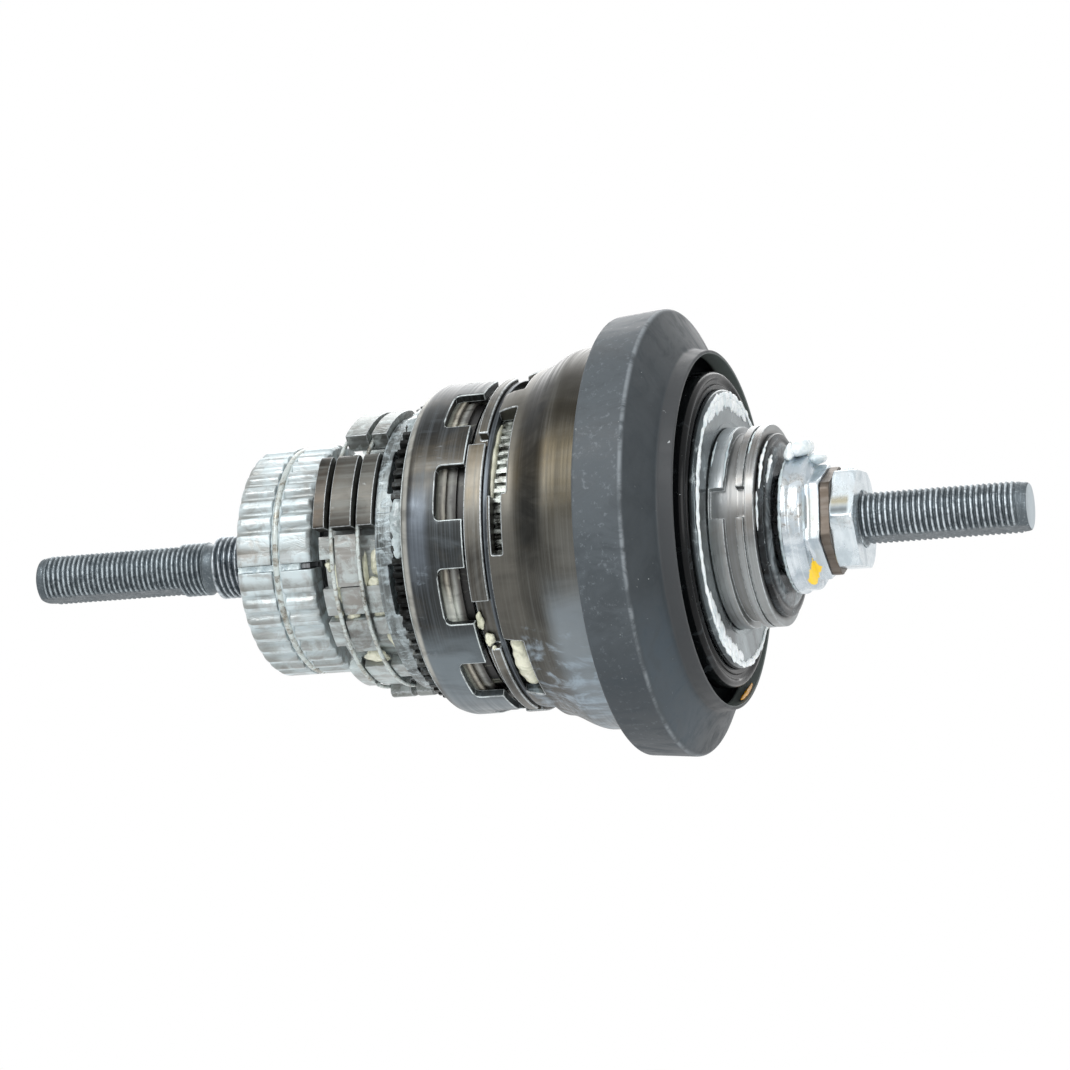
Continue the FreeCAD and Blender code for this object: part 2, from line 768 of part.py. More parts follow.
def make_brake_shoe(name, number):
    """One shoe: a ribbed arc with the spring groove, and a follower on the cam."""
    body = new_body(name)
    pitch = 360.0 / SIZES["shoe_count"]
    first_phi = cell("shoe_gap_phi") + cell("shoe_gap_angle") / 2 + pitch * number
    shoe_angle = as_size(pitch) - cell("shoe_gap_angle")
    radius = cell("shoe_radius")
    chamfer = cell("shoe_chamfer")
    step = shoe_left + cell("shoe_side_step")
    recess_radius = cell("anchor_disc_radius") + cell("anchor_key_clearance")
    revolve(body, "shoe_arc", [
        (step, cell("shoe_inner_radius")), (shoe_right, cell("shoe_inner_radius")),
        (shoe_right, radius - chamfer / 2), (shoe_right - chamfer / 2, radius),
        (shoe_left + chamfer, radius), (shoe_left, radius - chamfer),
        (shoe_left, recess_radius), (step, recess_radius)],
        phi=first_phi, angle=shoe_angle)
    groove(body, "disc_recess", box_outline(
        shoe_left - OVERCUT, anchor_disc_right + cell("anchor_key_clearance"),
        cell("shoe_inner_radius") - OVERCUT, recess_radius))
    ring_left = shoe_left + cell("ring_groove_offset") - cell("ring_groove_width") / 2
    groove(body, "spring_groove", box_outline(
        ring_left, ring_left + cell("ring_groove_width"),
        radius - cell("ring_groove_depth"), radius + OVERCUT))
    rib = groove(body, "rib_groove", box_outline(
        shoe_left - OVERCUT, shoe_right + OVERCUT,
        radius - cell("rib_groove_depth"), radius + OVERCUT),
        phi=first_phi + cell("rib_margin_angle"), angle=cell("rib_groove_angle"))
    around(body, "rib_grooves", [rib], cell("rib_count"),
           cell("rib_pitch_angle") * (SIZES["rib_count"] - 1))
    middle_phi = cell("shoe_gap_phi") + pitch * (number + 0.5)
    revolve(body, "cam_follower", box_outline(
        anchor_disc_right + cell("shoe_follower_inset"), shoe_right - cell("shoe_follower_inset"),
        cell("shoe_follower_radius"), cell("shoe_inner_radius") + SUNK),
        phi=middle_phi - cell("shoe_follower_angle") / 2, angle=cell("shoe_follower_angle"))


def wire_ring(name, station, radius, wire_radius, phi, gap_angle):
    """A wire bent round the axle, open over a gap that starts at phi."""
    body = new_body(name)
    station = as_size(station)
    radius = as_size(radius)
    revolve(body, "wire", [
        (station - wire_radius, radius),
        (station + wire_radius, radius, station, radius + wire_radius),
        (station - wire_radius, radius, station, radius - wire_radius)][1:],
        phi=phi + gap_angle, angle=as_size(360.0) - gap_angle)


def make_shoe_ring_spring():
    floor = cell("shoe_radius") - cell("ring_groove_depth")
    wire_ring("shoe_ring_spring", shoe_left + cell("ring_groove_offset"),
              floor + cell("ring_lift_clearance") + cell("ring_wire_radius"),
              cell("ring_wire_radius"), cell("shoe_gap_phi") + 180.0, cell("ring_gap_angle"))


# Planet carrier with its pawls

def make_pawl_ring():
    """The carrier's left part: three rows of lands with wire grooves between them."""
    body = new_body("pawl_ring")
    bore = cell("shaft_radius") + cell("carrier_bore_clearance")
    revolve(body, "ring_core", box_outline(ring_core_left, plate_left, bore, ring_floor_radius))
    tip_gap = cell("pawl_tip_gap_angle")
    pivot_gap = cell("pawl_pivot_gap_angle")
    front_end = cell("pawl_front_phi") + cell("pawl_front_angle") + tip_gap
    base_angle = cell("pawl_top_phi") + 180.0 - front_end - pivot_gap
    base = box_outline(ring_core_left, plate_left, ring_floor_radius - SUNK, cell("ring_base_radius"))
    features = [revolve(body, "land_base", base, front_end, base_angle)]
    between_start = cell("pawl_top_phi") + cell("pawl_top_angle") + tip_gap
    between_angle = cell("pawl_front_phi") - between_start - pivot_gap
    features.append(revolve(body, "pivot_base", base, between_start, between_angle))
    low = cell("ring_base_radius") - SUNK
    left_row = (row_left, wire_left)
    middle_row = (row_middle, wire_right)
    right_row = (row_right, plate_left)
    lugs = [
        ("left_land", left_row, "first_land_phi", "first_land_left_angle", lug_radius),
        ("middle_land", middle_row, "first_land_phi", "first_land_middle_angle", land_radius),
        ("left_lug", left_row, "lug_phi", "lug_angle", lug_radius),
        ("middle_lug", middle_row, "lug_phi", "lug_angle", lug_radius),
        ("right_lug", right_row, "lug_phi", "lug_angle", lug_radius),
        ("left_low_lug", left_row, "low_lug_phi", "low_lug_angle", land_radius),
        ("middle_low_lug", middle_row, "low_lug_phi", "low_lug_angle", land_radius),
        ("right_low_lug", right_row, "low_lug_phi", "low_lug_right_angle", lug_radius),
        ("middle_low_block", middle_row, "low_block_phi", "low_block_angle", land_radius),
        ("right_low_block", right_row, "low_block_phi", "low_block_angle", land_radius),
    ]
    for name, span, phi, angle, top in lugs:
        outline = box_outline(span[0], span[1], low, top)
        features.append(revolve(body, name, outline, cell(phi), cell(angle)))
    around(body, "both_sides", features, 2)


def make_pawl(name, phi, angle, left, right, grooves):
    """A pawl: a curved block with wire grooves, and a round pivot at its first end."""
    body = new_body(name)
    revolve(body, "pawl_block", box_outline(left, right, pawl_inner_radius, pawl_radius), phi, angle)
    lead = 2.0
    for index, groove_left in enumerate(grooves):
        groove(body, "wire_groove_%d" % index, box_outline(
            groove_left, groove_left + cell("row_groove_width"),
            pawl_groove_radius, pawl_radius + OVERCUT), phi - lead, angle + 2 * lead)
    pivot_phi = phi.value + SIZES["pawl_pivot_inset_angle"]
    pivot = polar_point(pawl_inner_radius.value, pivot_phi)
    round_boss(body, "pivot", pivot, cell("pawl_pivot_radius"), left, right)


def make_pawls():
    """Two kinds of pawl, each on both sides of the carrier."""
    pawl_right = plate_left - cell("pawl_side_clearance")
    for side, half_turn in (("front", 0.0), ("rear", 180.0)):
        make_pawl("drive_pawl_" + side, cell("pawl_front_phi") + half_turn,
                  cell("pawl_front_angle"), row_left, pawl_right, (wire_left, wire_right))
        make_pawl("second_pawl_" + side, cell("pawl_top_phi") + half_turn,
                  cell("pawl_top_angle"), row_middle, pawl_right, (wire_right,))


def make_pawl_wires():
    radius = pawl_groove_radius + cell("pawl_wire_radius") + cell("running_gap")
    for name, left, phi in (("pawl_wire_left", wire_left, "pawl_wire_left_phi"),
                            ("pawl_wire_right", wire_right, "pawl_wire_right_phi")):
        wire_ring(name, left + cell("row_groove_width") / 2, radius, cell("pawl_wire_radius"),
                  cell(phi), cell("pawl_wire_gap_angle"))


def pin_holes(body, station, length):
    """Round holes for the planet pins, from a station towards -X."""
    center = polar_point(center_distance.value, SIZES["planet_phi"])
    hole = body.newObject("PartDesign::Pocket", "pin_hole")
    hole.Profile = circle_sketch(body, "pin_hole_outline", center, cell("planet_pin_radius"), station)
    bind(hole, "Length", length)
    around(body, "pin_holes", [hole], cell("planet_count"))


def make_carrier_plate():
    """The plate beside the pawl ring, with long slots in its rim."""
    body = new_body("carrier_plate")
    bore = cell("shaft_radius") + cell("carrier_bore_clearance")
    revolve(body, "plate", box_outline(plate_left, plate_right, bore, cell("plate_radius")))
    slot = groove(body, "rim_slot", box_outline(
        plate_right - cell("plate_slot_width"), plate_right + OVERCUT,
        cell("plate_radius") - cell("plate_slot_depth"), cell("plate_radius") + OVERCUT),
        cell("plate_slot_phi"), cell("plate_slot_angle"))
    around(body, "rim_slots", [slot], cell("plate_slot_count"))
    pin_holes(body, plate_right + OVERCUT, cell("plate_width") + 2 * OVERCUT)


def make_planet_cage():
    """Pillars between the planets and the plate at their right."""
    body = new_body("planet_cage")
    bore = cell("sleeve_radius") + cell("running_gap")
    revolve(body, "cage_plate", box_outline(
        cage_plate_left, cage_plate_right, bore, cell("cage_plate_radius")))
    pin_holes(body, cage_plate_right + OVERCUT, cell("cage_plate_width") + 2 * OVERCUT)
    pitch = 360.0 / SIZES["planet_count"]
    pillar = revolve(body, "pillar", box_outline(
        plate_right, cage_plate_left + SUNK, cell("pillar_inner_radius"), cell("pillar_outer_radius")),
        cell("planet_phi") + pitch / 2 - cell("pillar_angle") / 2, cell("pillar_angle"))
    around(body, "pillars", [pillar], cell("planet_count"))


def planet_center(number):
    return polar_point(center_distance.value, SIZES["planet_phi"] + 360.0 * number / SIZES["planet_count"])


def place_planet_part(body, number):
    """Put a part that is drawn about X onto a planet's own axis."""
    center = planet_center(number)
    turn = SIZES["planet_phi"] + 360.0 * number / SIZES["planet_count"]
    body.Placement = FreeCAD.Placement(
        FreeCAD.Vector(0, center[0], center[1]), FreeCAD.Rotation(FreeCAD.Vector(1, 0, 0), turn))


def make_planet_pin(name, number):
    body = new_body(name)
    left = plate_left + cell("planet_pin_inset")
    right = cage_plate_right
    radius = cell("planet_pin_radius")
    bevel = cell("planet_pin_bevel")
    revolve(body, "pin", [
        (left, 0.0), (right, 0.0), (right, radius - bevel), (right - bevel, radius), (left, radius)])
    place_planet_part(body, number)


def make_planet_gear(name, number):
    """A double planet: its large teeth run in the left ring gear, its small teeth in the right."""
    body = new_body(name)
    bore = cell("planet_pin_radius") + cell("planet_bore_clearance")
    large = tip_radius("planet_large_teeth")
    small = tip_radius("planet_small_teeth")
    revolve(body, "blank", [
        (left_gear_left, bore), (right_gear_right, bore), (right_gear_right, small),
        (right_gear_left, small), (right_gear_left, cell("planet_neck_radius")),
        (left_gear_right, cell("planet_neck_radius")), (left_gear_right, large), (left_gear_left, large)])
    large_teeth = SIZES["planet_large_teeth"]
    small_teeth = SIZES["planet_small_teeth"]
    side = cell("running_gap")
    large_gap = cut_back(body, "large_gap", outer_gap(large_teeth, 180.0 / large_teeth),
                         left_gear_right + side, cell("gear_face") + side + side)
    around(body, "large_gaps", [large_gap], cell("planet_large_teeth"))
    small_gap = cut_back(body, "small_gap", outer_gap(small_teeth, 180.0 / small_teeth),
                         right_gear_right + side, cell("gear_face") + side + side)
    around(body, "small_gaps", [small_gap], cell("planet_small_teeth"))
    place_planet_part(body, number)


# Sun gears

def make_sun_gear(name, teeth, left, right, gap_phi, pattern_count):
    """A sun gear on the shaft, with notches in its bore for the sun pawl."""
    body = new_body(name)
    bore = cell("shaft_radius") + cell("sun_bore_clearance")
    revolve(body, "blank", box_outline(left, right, bore, tip_radius(teeth)))
    count = SIZES[teeth] if isinstance(teeth, str) else teeth
    gap = cut_back(body, "gap", outer_gap(count, gap_phi), right + OVERCUT, right - left + 2 * OVERCUT)
    around(body, "gaps", [gap], pattern_count)
    notch_depth = cell("sun_pawl_lift") + cell("sun_pawl_setback")
    notch_phi = (cell("sun_pawl_phi") + cell("sun_pawl_angle") - cell("sun_pawl_tip_angle")
                 - cell("sun_notch_lead_angle"))
    notch = groove(body, "pawl_notch", box_outline(
        left - OVERCUT, right + OVERCUT, bore - OVERCUT, bore + notch_depth),
        notch_phi, cell("sun_notch_angle"))
    around(body, "pawl_notches", [notch], cell("sun_notch_count"))


def make_sun_gears():
    """The locked sun meshes with the small planet teeth, the free one with the large teeth."""
    overhang = cell("sun_overhang")
    make_sun_gear("sun_gear_locked", "locked_sun_teeth", right_gear_left - overhang,
                  right_gear_right + overhang, SIZES["planet_phi"], cell("locked_sun_teeth"))
    make_sun_gear("sun_gear_free", free_sun_teeth, left_gear_left - overhang,
                  left_gear_right + overhang,
                  SIZES["planet_phi"] + 180.0 / free_sun_teeth, as_size(free_sun_teeth))


def make_sun_pawl(name, left, engaged):
    """A curved pawl with a round heel in the shaft's slot; engaged, its tip stands in the sun's notch."""
    body = new_body(name)
    outer = cell("shaft_radius") - cell("sun_pawl_setback")
    inner = outer - cell("sun_pawl_depth")
    right = left + cell("sun_pawl_width")
    revolve(body, "pawl_arc", box_outline(left, right, inner, outer),
            cell("sun_pawl_phi"), cell("sun_pawl_angle"))
    heel_radius = cell("sun_pawl_depth") / 2
    heel_place = (outer - heel_radius).value
    round_boss(body, "heel", polar_point(heel_place, SIZES["sun_pawl_phi"]), heel_radius, left, right)
    if engaged:
        revolve(body, "pawl_tip", box_outline(
            left, right, inner + cell("sun_pawl_tip_inset"), outer + cell("sun_pawl_lift")),
            cell("sun_pawl_phi") + cell("sun_pawl_angle") - cell("sun_pawl_tip_angle"),
            cell("sun_pawl_tip_angle"))


# Window drum

def make_ratchet_ring():
    body = new_body("ratchet_ring")
    radius = SIZES["ratchet_radius"]
    revolve(body, "blank", box_outline(
        ratchet_left, drum_left, inner_tip_radius(left_ring_teeth) - cell("ratchet_seat_depth"),
        cell("ratchet_radius")))
    tooth_gap = fine_gap(SIZES["ratchet_teeth"], radius, SIZES["ratchet_tooth_depth"], 0.0)
    gap = cut_back(body, "gap", tooth_gap,
                   drum_left + OVERCUT, cell("ratchet_width") + 2 * OVERCUT)
    around(body, "gaps", [gap], cell("ratchet_teeth"))


def make_window_drum():
    """The drum round the left ring gear, its windows open to the right."""
    body = new_body("window_drum")
    outer = cell("drum_radius")
    inner = outer - cell("drum_wall")
    flange_right = drum_left + cell("drum_flange_width")
    corner = 0.6
    edge = 0.2
    revolve(body, "drum", [
        (drum_left, inner_tip_radius(left_ring_teeth)), (flange_right, inner_tip_radius(left_ring_teeth)),
        (flange_right, inner - corner), (flange_right + corner, inner),
        (drum_right, inner), (drum_right, outer - edge), (drum_right - edge, outer),
        (drum_left + cell("drum_bevel_width"), outer), (drum_left, cell("drum_rim_radius"))])
    window = groove(body, "window", box_outline(
        drum_right - cell("window_length"), drum_right + OVERCUT, inner - OVERCUT, outer + OVERCUT),
        cell("window_phi"), cell("window_angle"))
    around(body, "windows", [window], cell("window_count"))


def make_left_ring_gear():
    """Inside teeth for the large planet teeth, and a stepped liner behind the windows."""
    body = new_body("ring_gear_left")
    outer = cell("drum_radius") - cell("drum_wall")
    tip = inner_tip_radius(left_ring_teeth)
    root = pitch_radius_of(left_ring_teeth) + cell("tooth_root_depth") * module
    step = cell("liner_step")
    left = drum_left + cell("drum_flange_width") + 0.6
    gear_end = left_gear_right + 0.2
    liner_bore = root - 0.2
    liner_right = drum_right - cell("running_gap")
    third = (drum_right - gear_end) / 3
    revolve(body, "blank", [
        (left, tip), (gear_end, tip), (gear_end, liner_bore), (liner_right, liner_bore),
        (liner_right, outer - step * 2), (gear_end + third * 2, outer - step * 2),
        (gear_end + third * 2, outer - step), (gear_end + third, outer - step),
        (gear_end + third, outer), (left, outer)])
    gap = cut_back(body, "gap", inner_gap(left_ring_teeth, SIZES["planet_phi"]),
                   gear_end, gear_end - left + OVERCUT)
    around(body, "gaps", [gap], as_size(left_ring_teeth))


# Driver: claw ring, cup, right ring gear, dust cap, seal, plate and nose

def make_claw_ring():
    body = new_body("claw_ring")
    revolve(body, "ring", box_outline(
        claw_left, circlip_left, cell("claw_bore_radius"), cell("claw_floor_radius")))
    low = cell("claw_floor_radius") - SUNK
    long_claw = revolve(body, "long_claw", box_outline(
        claw_left, circlip_left, low, cell("claw_radius")), cell("claw_long_phi"), cell("claw_long_angle"))
    short_claw = revolve(body, "short_claw", box_outline(
        circlip_left - cell("claw_short_width"), circlip_left, low, cell("claw_radius")),
        cell("claw_short_phi"), cell("claw_short_angle"))
    around(body, "claws", [long_claw, short_claw], cell("claw_pitch_count"))


def make_circlip():
    body = new_body("claw_circlip")
    revolve(body, "clip", box_outline(
        circlip_left, cup_left, cell("cup_bore_radius") - cell("circlip_depth"), cell("circlip_radius")),
        cell("circlip_gap_phi") + cell("circlip_gap_angle"), as_size(360.0) - cell("circlip_gap_angle"))


def make_driver_cup():
    """The bowl: a rim with openings, a hollow shoulder, and the bottom that meets the nose."""
    body = new_body("driver_cup")
    wall = cell("cup_wall")
    rim = cell("cup_rim_radius")
    big = cell("cup_body_radius")
    bore = cell("cup_bore_radius")
    ring_end = right_ring_right
    inner = big - wall
    corner = 0.6
    bevel = 1.2
    edge = 0.3
    bottom_left = cup_right - cell("cup_bottom_width")
    hollow = 0.55
    revolve(body, "bowl", [
        (cup_left, bore), (ring_end, bore),
        (ring_end + corner, inner - corner), (ring_end + corner * 2, inner),
        (bottom_left, inner), (bottom_left, nose_hub_radius),
        (cup_right, nose_hub_radius), (cup_right, big - bevel), (cup_right - bevel, big),
        (cup_body_left, big),
        (shoulder_left, rim,
         cup_body_left - cell("cup_shoulder_width") * hollow, rim + (big - rim) * hollow),
        (cup_left + edge, rim), (cup_left, rim - edge)])
    opening = box_outline(cup_left - OVERCUT, cup_left + cell("cup_opening_width"),
                          bore - OVERCUT, rim + OVERCUT)
    slot_left = cup_left + cell("cup_slot_inset")
    slot = box_outline(slot_left, slot_left + cell("cup_slot_width"), bore - OVERCUT, rim + OVERCUT)
    join_angle = 0.2
    wide = groove(body, "wide_opening", opening, cell("cup_opening_phi"), cell("cup_opening_angle"))
    narrow = groove(body, "narrow_slot", slot,
                    cell("cup_opening_phi") + cell("cup_opening_angle") - join_angle,
                    cell("cup_slot_angle") + join_angle)
    low = groove(body, "low_opening", opening, cell("cup_low_opening_phi"), cell("cup_low_opening_angle"))
    around(body, "openings", [wide, narrow, low], cell("claw_pitch_count"))


def make_spline_ring():
    """Fine teeth in the cup's mouth, seen through its openings."""
    body = new_body("spline_ring")
    radius = SIZES["spline_ring_radius"]
    revolve(body, "blank", box_outline(
        cup_left + cell("running_gap"), spline_right, inner_tip_radius(right_ring_teeth),
        cell("spline_ring_radius")))
    tooth_gap = fine_gap(SIZES["spline_ring_teeth"], radius, SIZES["spline_tooth_depth"], 0.0)
    gap = cut_back(body, "gap", tooth_gap,
                   spline_right + OVERCUT, cell("spline_ring_width") + 2 * OVERCUT)
    around(body, "gaps", [gap], cell("spline_ring_teeth"))


def make_right_ring_gear():
    body = new_body("ring_gear_right")
    tip = inner_tip_radius(right_ring_teeth)
    revolve(body, "blank", box_outline(
        right_ring_left, right_ring_right, tip, cell("cup_bore_radius")))
    gap = cut_back(body, "gap", inner_gap(right_ring_teeth, SIZES["planet_phi"]),
                   right_ring_right + OVERCUT, right_ring_right - right_ring_left + 2 * OVERCUT)
    around(body, "gaps", [gap], as_size(right_ring_teeth))


def make_dust_cap():
    """A dished cover: a wide band, a sloped face, and a lip round the seal."""
    body = new_body("dust_cap")
    outer = dust_cap_radius
    rim = outer - cell("dust_cap_taper")
    edge = cell("dust_cap_edge")
    wall = cell("dust_cap_wall")
    inside = outer - wall - edge
    face = dust_cap_face_radius
    lip = dust_cap_lip_radius
    big = cell("cup_body_radius")
    collar = big + cell("dust_cap_collar_wall")
    web_right = cup_right
    web_left = web_right - cell("dust_cap_web_width")
    collar_left = web_right - cell("dust_cap_collar_width")
    ridge = dust_cap_ridge
    opening = lip - cell("dust_cap_lip_wall")
    revolve(body, "cover", [
        (dust_cap_left, rim - wall), (dust_cap_left, rim - edge), (dust_cap_left + edge, rim),
        (ridge - edge, outer), (ridge + edge, outer - edge), (dust_cap_face, face),
        (dust_cap_lip - edge / 2, lip), (dust_cap_lip, lip - edge / 2), (dust_cap_lip, opening),
        (dust_cap_face - wall / 2, opening),
        (ridge - edge, inside), (web_right, inside - 0.3), (web_right, big),
        (collar_left, big), (collar_left, collar), (web_left, collar), (web_left, inside - 0.3)])


def make_dust_seal():
    """The glossy lip seal between the dust cap and the front plate."""
    body = new_body("dust_seal")
    outer = seal_radius
    right = front_plate_left
    left = right - cell("seal_width")
    edge = cell("seal_edge")
    bead = cell("seal_bead_width")
    bead_top = outer - edge * 2
    crown = right + edge * 0.2
    revolve(body, "lip_ring", [
        (left, seal_inner_radius), (right, seal_inner_radius), (right, bead_top - bead),
        (crown, bead_top, right - edge, bead_top - bead / 2),
        (crown, outer - edge), (right - edge, outer), (left, outer)])


def make_front_plate():
    body = new_body("front_plate")
    revolve(body, "plate", [
        (front_plate_left, cell("nose_floor_radius")), (front_plate_right, cell("nose_floor_radius")),
        (front_plate_right, front_plate_radius - cell("front_plate_edge")),
        (front_plate_right - cell("front_plate_edge"), front_plate_radius),
        (front_plate_left, front_plate_radius)])


def make_driver_nose():
    """The driver's nose: the sprocket seat with its notches, clip grooves and ball race."""
    body = new_body("driver_nose")
    floor = cell("nose_floor_radius")
    bore = cell("nose_bore_radius")
    ring = cell("nose_radius")
    edge = cell("nose_edge")
    fine_floor = ring - cell("nose_fine_groove_depth")
    spigot = cup_right - cell("cup_bottom_width") - cell("nose_spigot_length")
    revolve(body, "nose", [
        (spigot, bore), (race_left, bore), (race_left, race_radius), (nose_right, race_radius),
        (nose_right, ring - edge), (nose_right - edge, ring),
        (third_ring_left, ring), (third_ring_left, fine_floor),
        (fine_groove_left, fine_floor), (fine_groove_left, ring), (second_ring_left, ring),
        (second_ring_left, floor), (clip_groove_left, floor), (clip_groove_left, ring),
        (front_plate_right, ring), (front_plate_right, floor),
        (front_plate_left, floor), (front_plate_left, seal_inner_radius),
        (cup_right, seal_inner_radius), (cup_right, nose_hub_radius), (spigot, nose_hub_radius)])
    notch = groove(body, "notch", box_outline(
        front_plate_right + cell("notch_setback"), fine_groove_left, floor, ring + OVERCUT),
        cell("notch_phi"), cell("notch_angle"))
    around(body, "notches", [notch], cell("notch_count"))


def make_nose_seal():
    """The black ring between the nose and the cone."""
    body = new_body("nose_seal")
    outer = cell("nose_seal_radius")
    inner = cone_stem_radius + cell("running_gap")
    left = nose_right - cell("nose_seal_step")
    right = nose_right + cell("nose_seal_width")
    revolve(body, "ring", [
        (left, inner), (right, inner), (right, outer - 1.0),
        (nose_right + 0.2, outer, nose_right + cell("nose_seal_width") * 0.8, outer - 0.3),
        (nose_right, outer), (nose_right, race_radius), (left, race_radius)])


# Bearing, cone, washer and nut

def make_bearing():
    """The balls, and the cage that spaces them."""
    count = int(SIZES["ball_count"])
    balls = []
    pockets = []
    for number in range(count):
        place = polar_point(SIZES["ball_circle_radius"], 360.0 * number / count)
        center = FreeCAD.Vector(ball_station.value, place[0], place[1])
        balls.append(Part.makeSphere(SIZES["ball_radius"], center))
        pockets.append(Part.makeSphere(SIZES["ball_radius"] + 2 * SIZES["ball_clearance"], center))
    group = document.addObject("Part::Feature", "bearing_balls")
    group.Label = "bearing_balls"
    group.Shape = Part.makeCompound(balls)
    sub_parts.append(group)
    low = SIZES["ball_circle_radius"] - SIZES["cage_half_height"]
    high = SIZES["ball_circle_radius"] + SIZES["cage_half_height"]
    start = FreeCAD.Vector(ball_station.value + SIZES["cage_offset"], 0, 0)
    along = FreeCAD.Vector(1, 0, 0)
    ring = Part.makeCylinder(high, SIZES["cage_width"], start, along)
    ring = ring.cut(Part.makeCylinder(low, SIZES["cage_width"], start, along))
    cage = document.addObject("Part::Feature", "ball_cage")
    cage.Label = "ball_cage"
    cage.Shape = ring.cut(Part.makeCompound(pockets))
    sub_parts.append(cage)


def make_cone():
    """The right cone: race, flange, band and a hexagon for the spanner."""
    body = new_body("right_cone")
    thread = cell("thread_radius")
    stem = cone_stem_radius
    seat = ball_station - cell("ball_radius") / 2
    flange = cell("cone_flange_radius")
    band = cell("cone_band_radius")
    edge = cell("cone_edge")
    half_across = cell("cone_hex_across") / 2
    corner = half_across + 2.5
    pad_on(body, "spanner_hexagon", hexagon(SIZES["cone_hex_across"], SIZES["cone_hex_phi"]),
           cone_hex_left - SUNK, cell("cone_hex_width") + SUNK)
    groove(body, "hexagon_edge", [
        (washer_left - cell("hex_chamfer"), corner), (washer_left + OVERCUT, corner),
        (washer_left + OVERCUT, half_across), (washer_left, half_across)])
    revolve(body, "cone", [
        (seat, thread - SUNK), (cone_hex_left, thread - SUNK), (cone_hex_left, band), (cone_band_left, band),
        (cone_band_left, flange - edge), (cone_band_left - edge, flange),
        (cone_flange_left + edge, flange), (cone_flange_left, flange - edge), (cone_flange_left, stem),
        (ball_station + cell("ball_radius") + 0.2, stem),
        (seat, stem - cell("cone_race_drop"))])
    groove(body, "bore", box_outline(seat - OVERCUT, washer_left + OVERCUT, 0.0, thread))


def make_washer():
    body = new_body("lock_washer")
    pad_on(body, "washer", hexagon(SIZES["washer_across"], SIZES["washer_phi"]),
           washer_left, cell("washer_width"))
    groove(body, "bore", box_outline(
        washer_left - OVERCUT, nut_left + OVERCUT, 0.0, cell("thread_radius")))


def make_nut():
    body = new_body("lock_nut")
    pad_on(body, "nut", hexagon(SIZES["nut_across"], SIZES["nut_phi"]), nut_left, cell("nut_width"))
    chamfer = cell("hex_chamfer")
    corner = cell("nut_across") / 2 + 2.0
    land = cell("nut_across") / 2 - 0.1
    for name, face, inside, outside in (
            ("left_edge", nut_left, nut_left + chamfer, nut_left - OVERCUT),
            ("right_edge", nut_right, nut_right - chamfer, nut_right + OVERCUT)):
        groove(body, name, [(inside, corner), (face, land), (outside, land), (outside, corner)])
    groove(body, "bore", box_outline(nut_left - OVERCUT, nut_right + OVERCUT, 0.0, cell("thread_radius")))


# Selector

def make_shift_sleeve():
    """The sleeve that turns on the axle inside the driver and works the sun pawls."""
    body = new_body("shift_sleeve")
    bore = cell("sleeve_seat_radius") + cell("sleeve_bore_clearance")
    outer = cell("sleeve_radius") - cell("sleeve_wall_drop")
    left = cage_plate_left + cell("running_gap")
    right = left + cell("sleeve_length")
    revolve(body, "sleeve", box_outline(left, right, bore, outer))
    revolve(body, "sleeve_head", box_outline(
        left, left + cell("sleeve_head_width"), bore + cell("sleeve_head_clearance"),
        cell("sleeve_radius")))
    arm = revolve(body, "sleeve_arm", box_outline(
        right - SUNK, right + cell("sleeve_arm_length"), bore, outer),
        cell("sleeve_arm_phi"), cell("sleeve_arm_angle"))
    around(body, "sleeve_arms", [arm], 2)


def make_return_spring():
    """The coil on the axle that turns the sleeve back."""
    left = (cage_plate_left + cell("running_gap") + cell("sleeve_length")
            + cell("sleeve_arm_length") + cell("return_clearance"))
    height = SIZES["return_pitch"] * SIZES["return_turns"]
    helix = Part.makeHelix(SIZES["return_pitch"], height, SIZES["return_coil_radius"])
    section = Part.Wire(Part.makeCircle(
        SIZES["return_wire_radius"], FreeCAD.Vector(SIZES["return_coil_radius"], 0, 0),
        FreeCAD.Vector(0, 1, 0)))
    coil = Part.Wire(helix).makePipeShell([section], True, True)
    coil.rotate(FreeCAD.Vector(0, 0, 0), FreeCAD.Vector(0, 1, 0), 90.0)
    coil.translate(FreeCAD.Vector(left.value, 0, 0))
    spring = document.addObject("Part::Feature", "return_spring")
    spring.Label = "return_spring"
    spring.Shape = coil
    sub_parts.append(spring)


# The whole unit

def make_all():
    make_axle()
    make_brake_anchor()
    make_brake_cam()
    for number in range(int(SIZES["shoe_count"])):
        make_brake_shoe("brake_shoe_%d" % (number + 1), number)
    make_shoe_ring_spring()
    make_pawl_ring()
    make_pawls()
    make_pawl_wires()
    make_carrier_plate()
    make_planet_cage()
    for number in range(int(SIZES["planet_count"])):
        make_planet_pin("planet_pin_%d" % (number + 1), number)
        make_planet_gear("planet_gear_%d" % (number + 1), number)
    make_sun_gears()
    make_sun_pawl("sun_pawl_locked", right_pawl_left, engaged=True)
    make_sun_pawl("sun_pawl_free", left_pawl_left, engaged=False)
    make_ratchet_ring()
    make_window_drum()
    make_left_ring_gear()
    make_claw_ring()
    make_circlip()
    make_driver_cup()
    make_spline_ring()
    make_right_ring_gear()
    make_dust_cap()
    make_dust_seal()
    make_front_plate()
    make_driver_nose()
    make_nose_seal()
    make_bearing()
    make_cone()
    make_washer()
    make_nut()
    make_shift_sleeve()
    make_return_spring()


def check_all():
    """Stop before anything is written if an object failed or a shape is not sound."""
    for thing in document.Objects:
        if "Invalid" in thing.State or "Error" in thing.State:
            raise RuntimeError("%s is %s" % (thing.Name, thing.State))
    for sub_part in sub_parts:
        if sub_part.Shape.isNull() or not sub_part.Shape.isValid():
            raise RuntimeError("%s has no sound shape" % sub_part.Label)
        if not sub_part.Shape.Solids:
            raise RuntimeError("%s has no solid" % sub_part.Label)


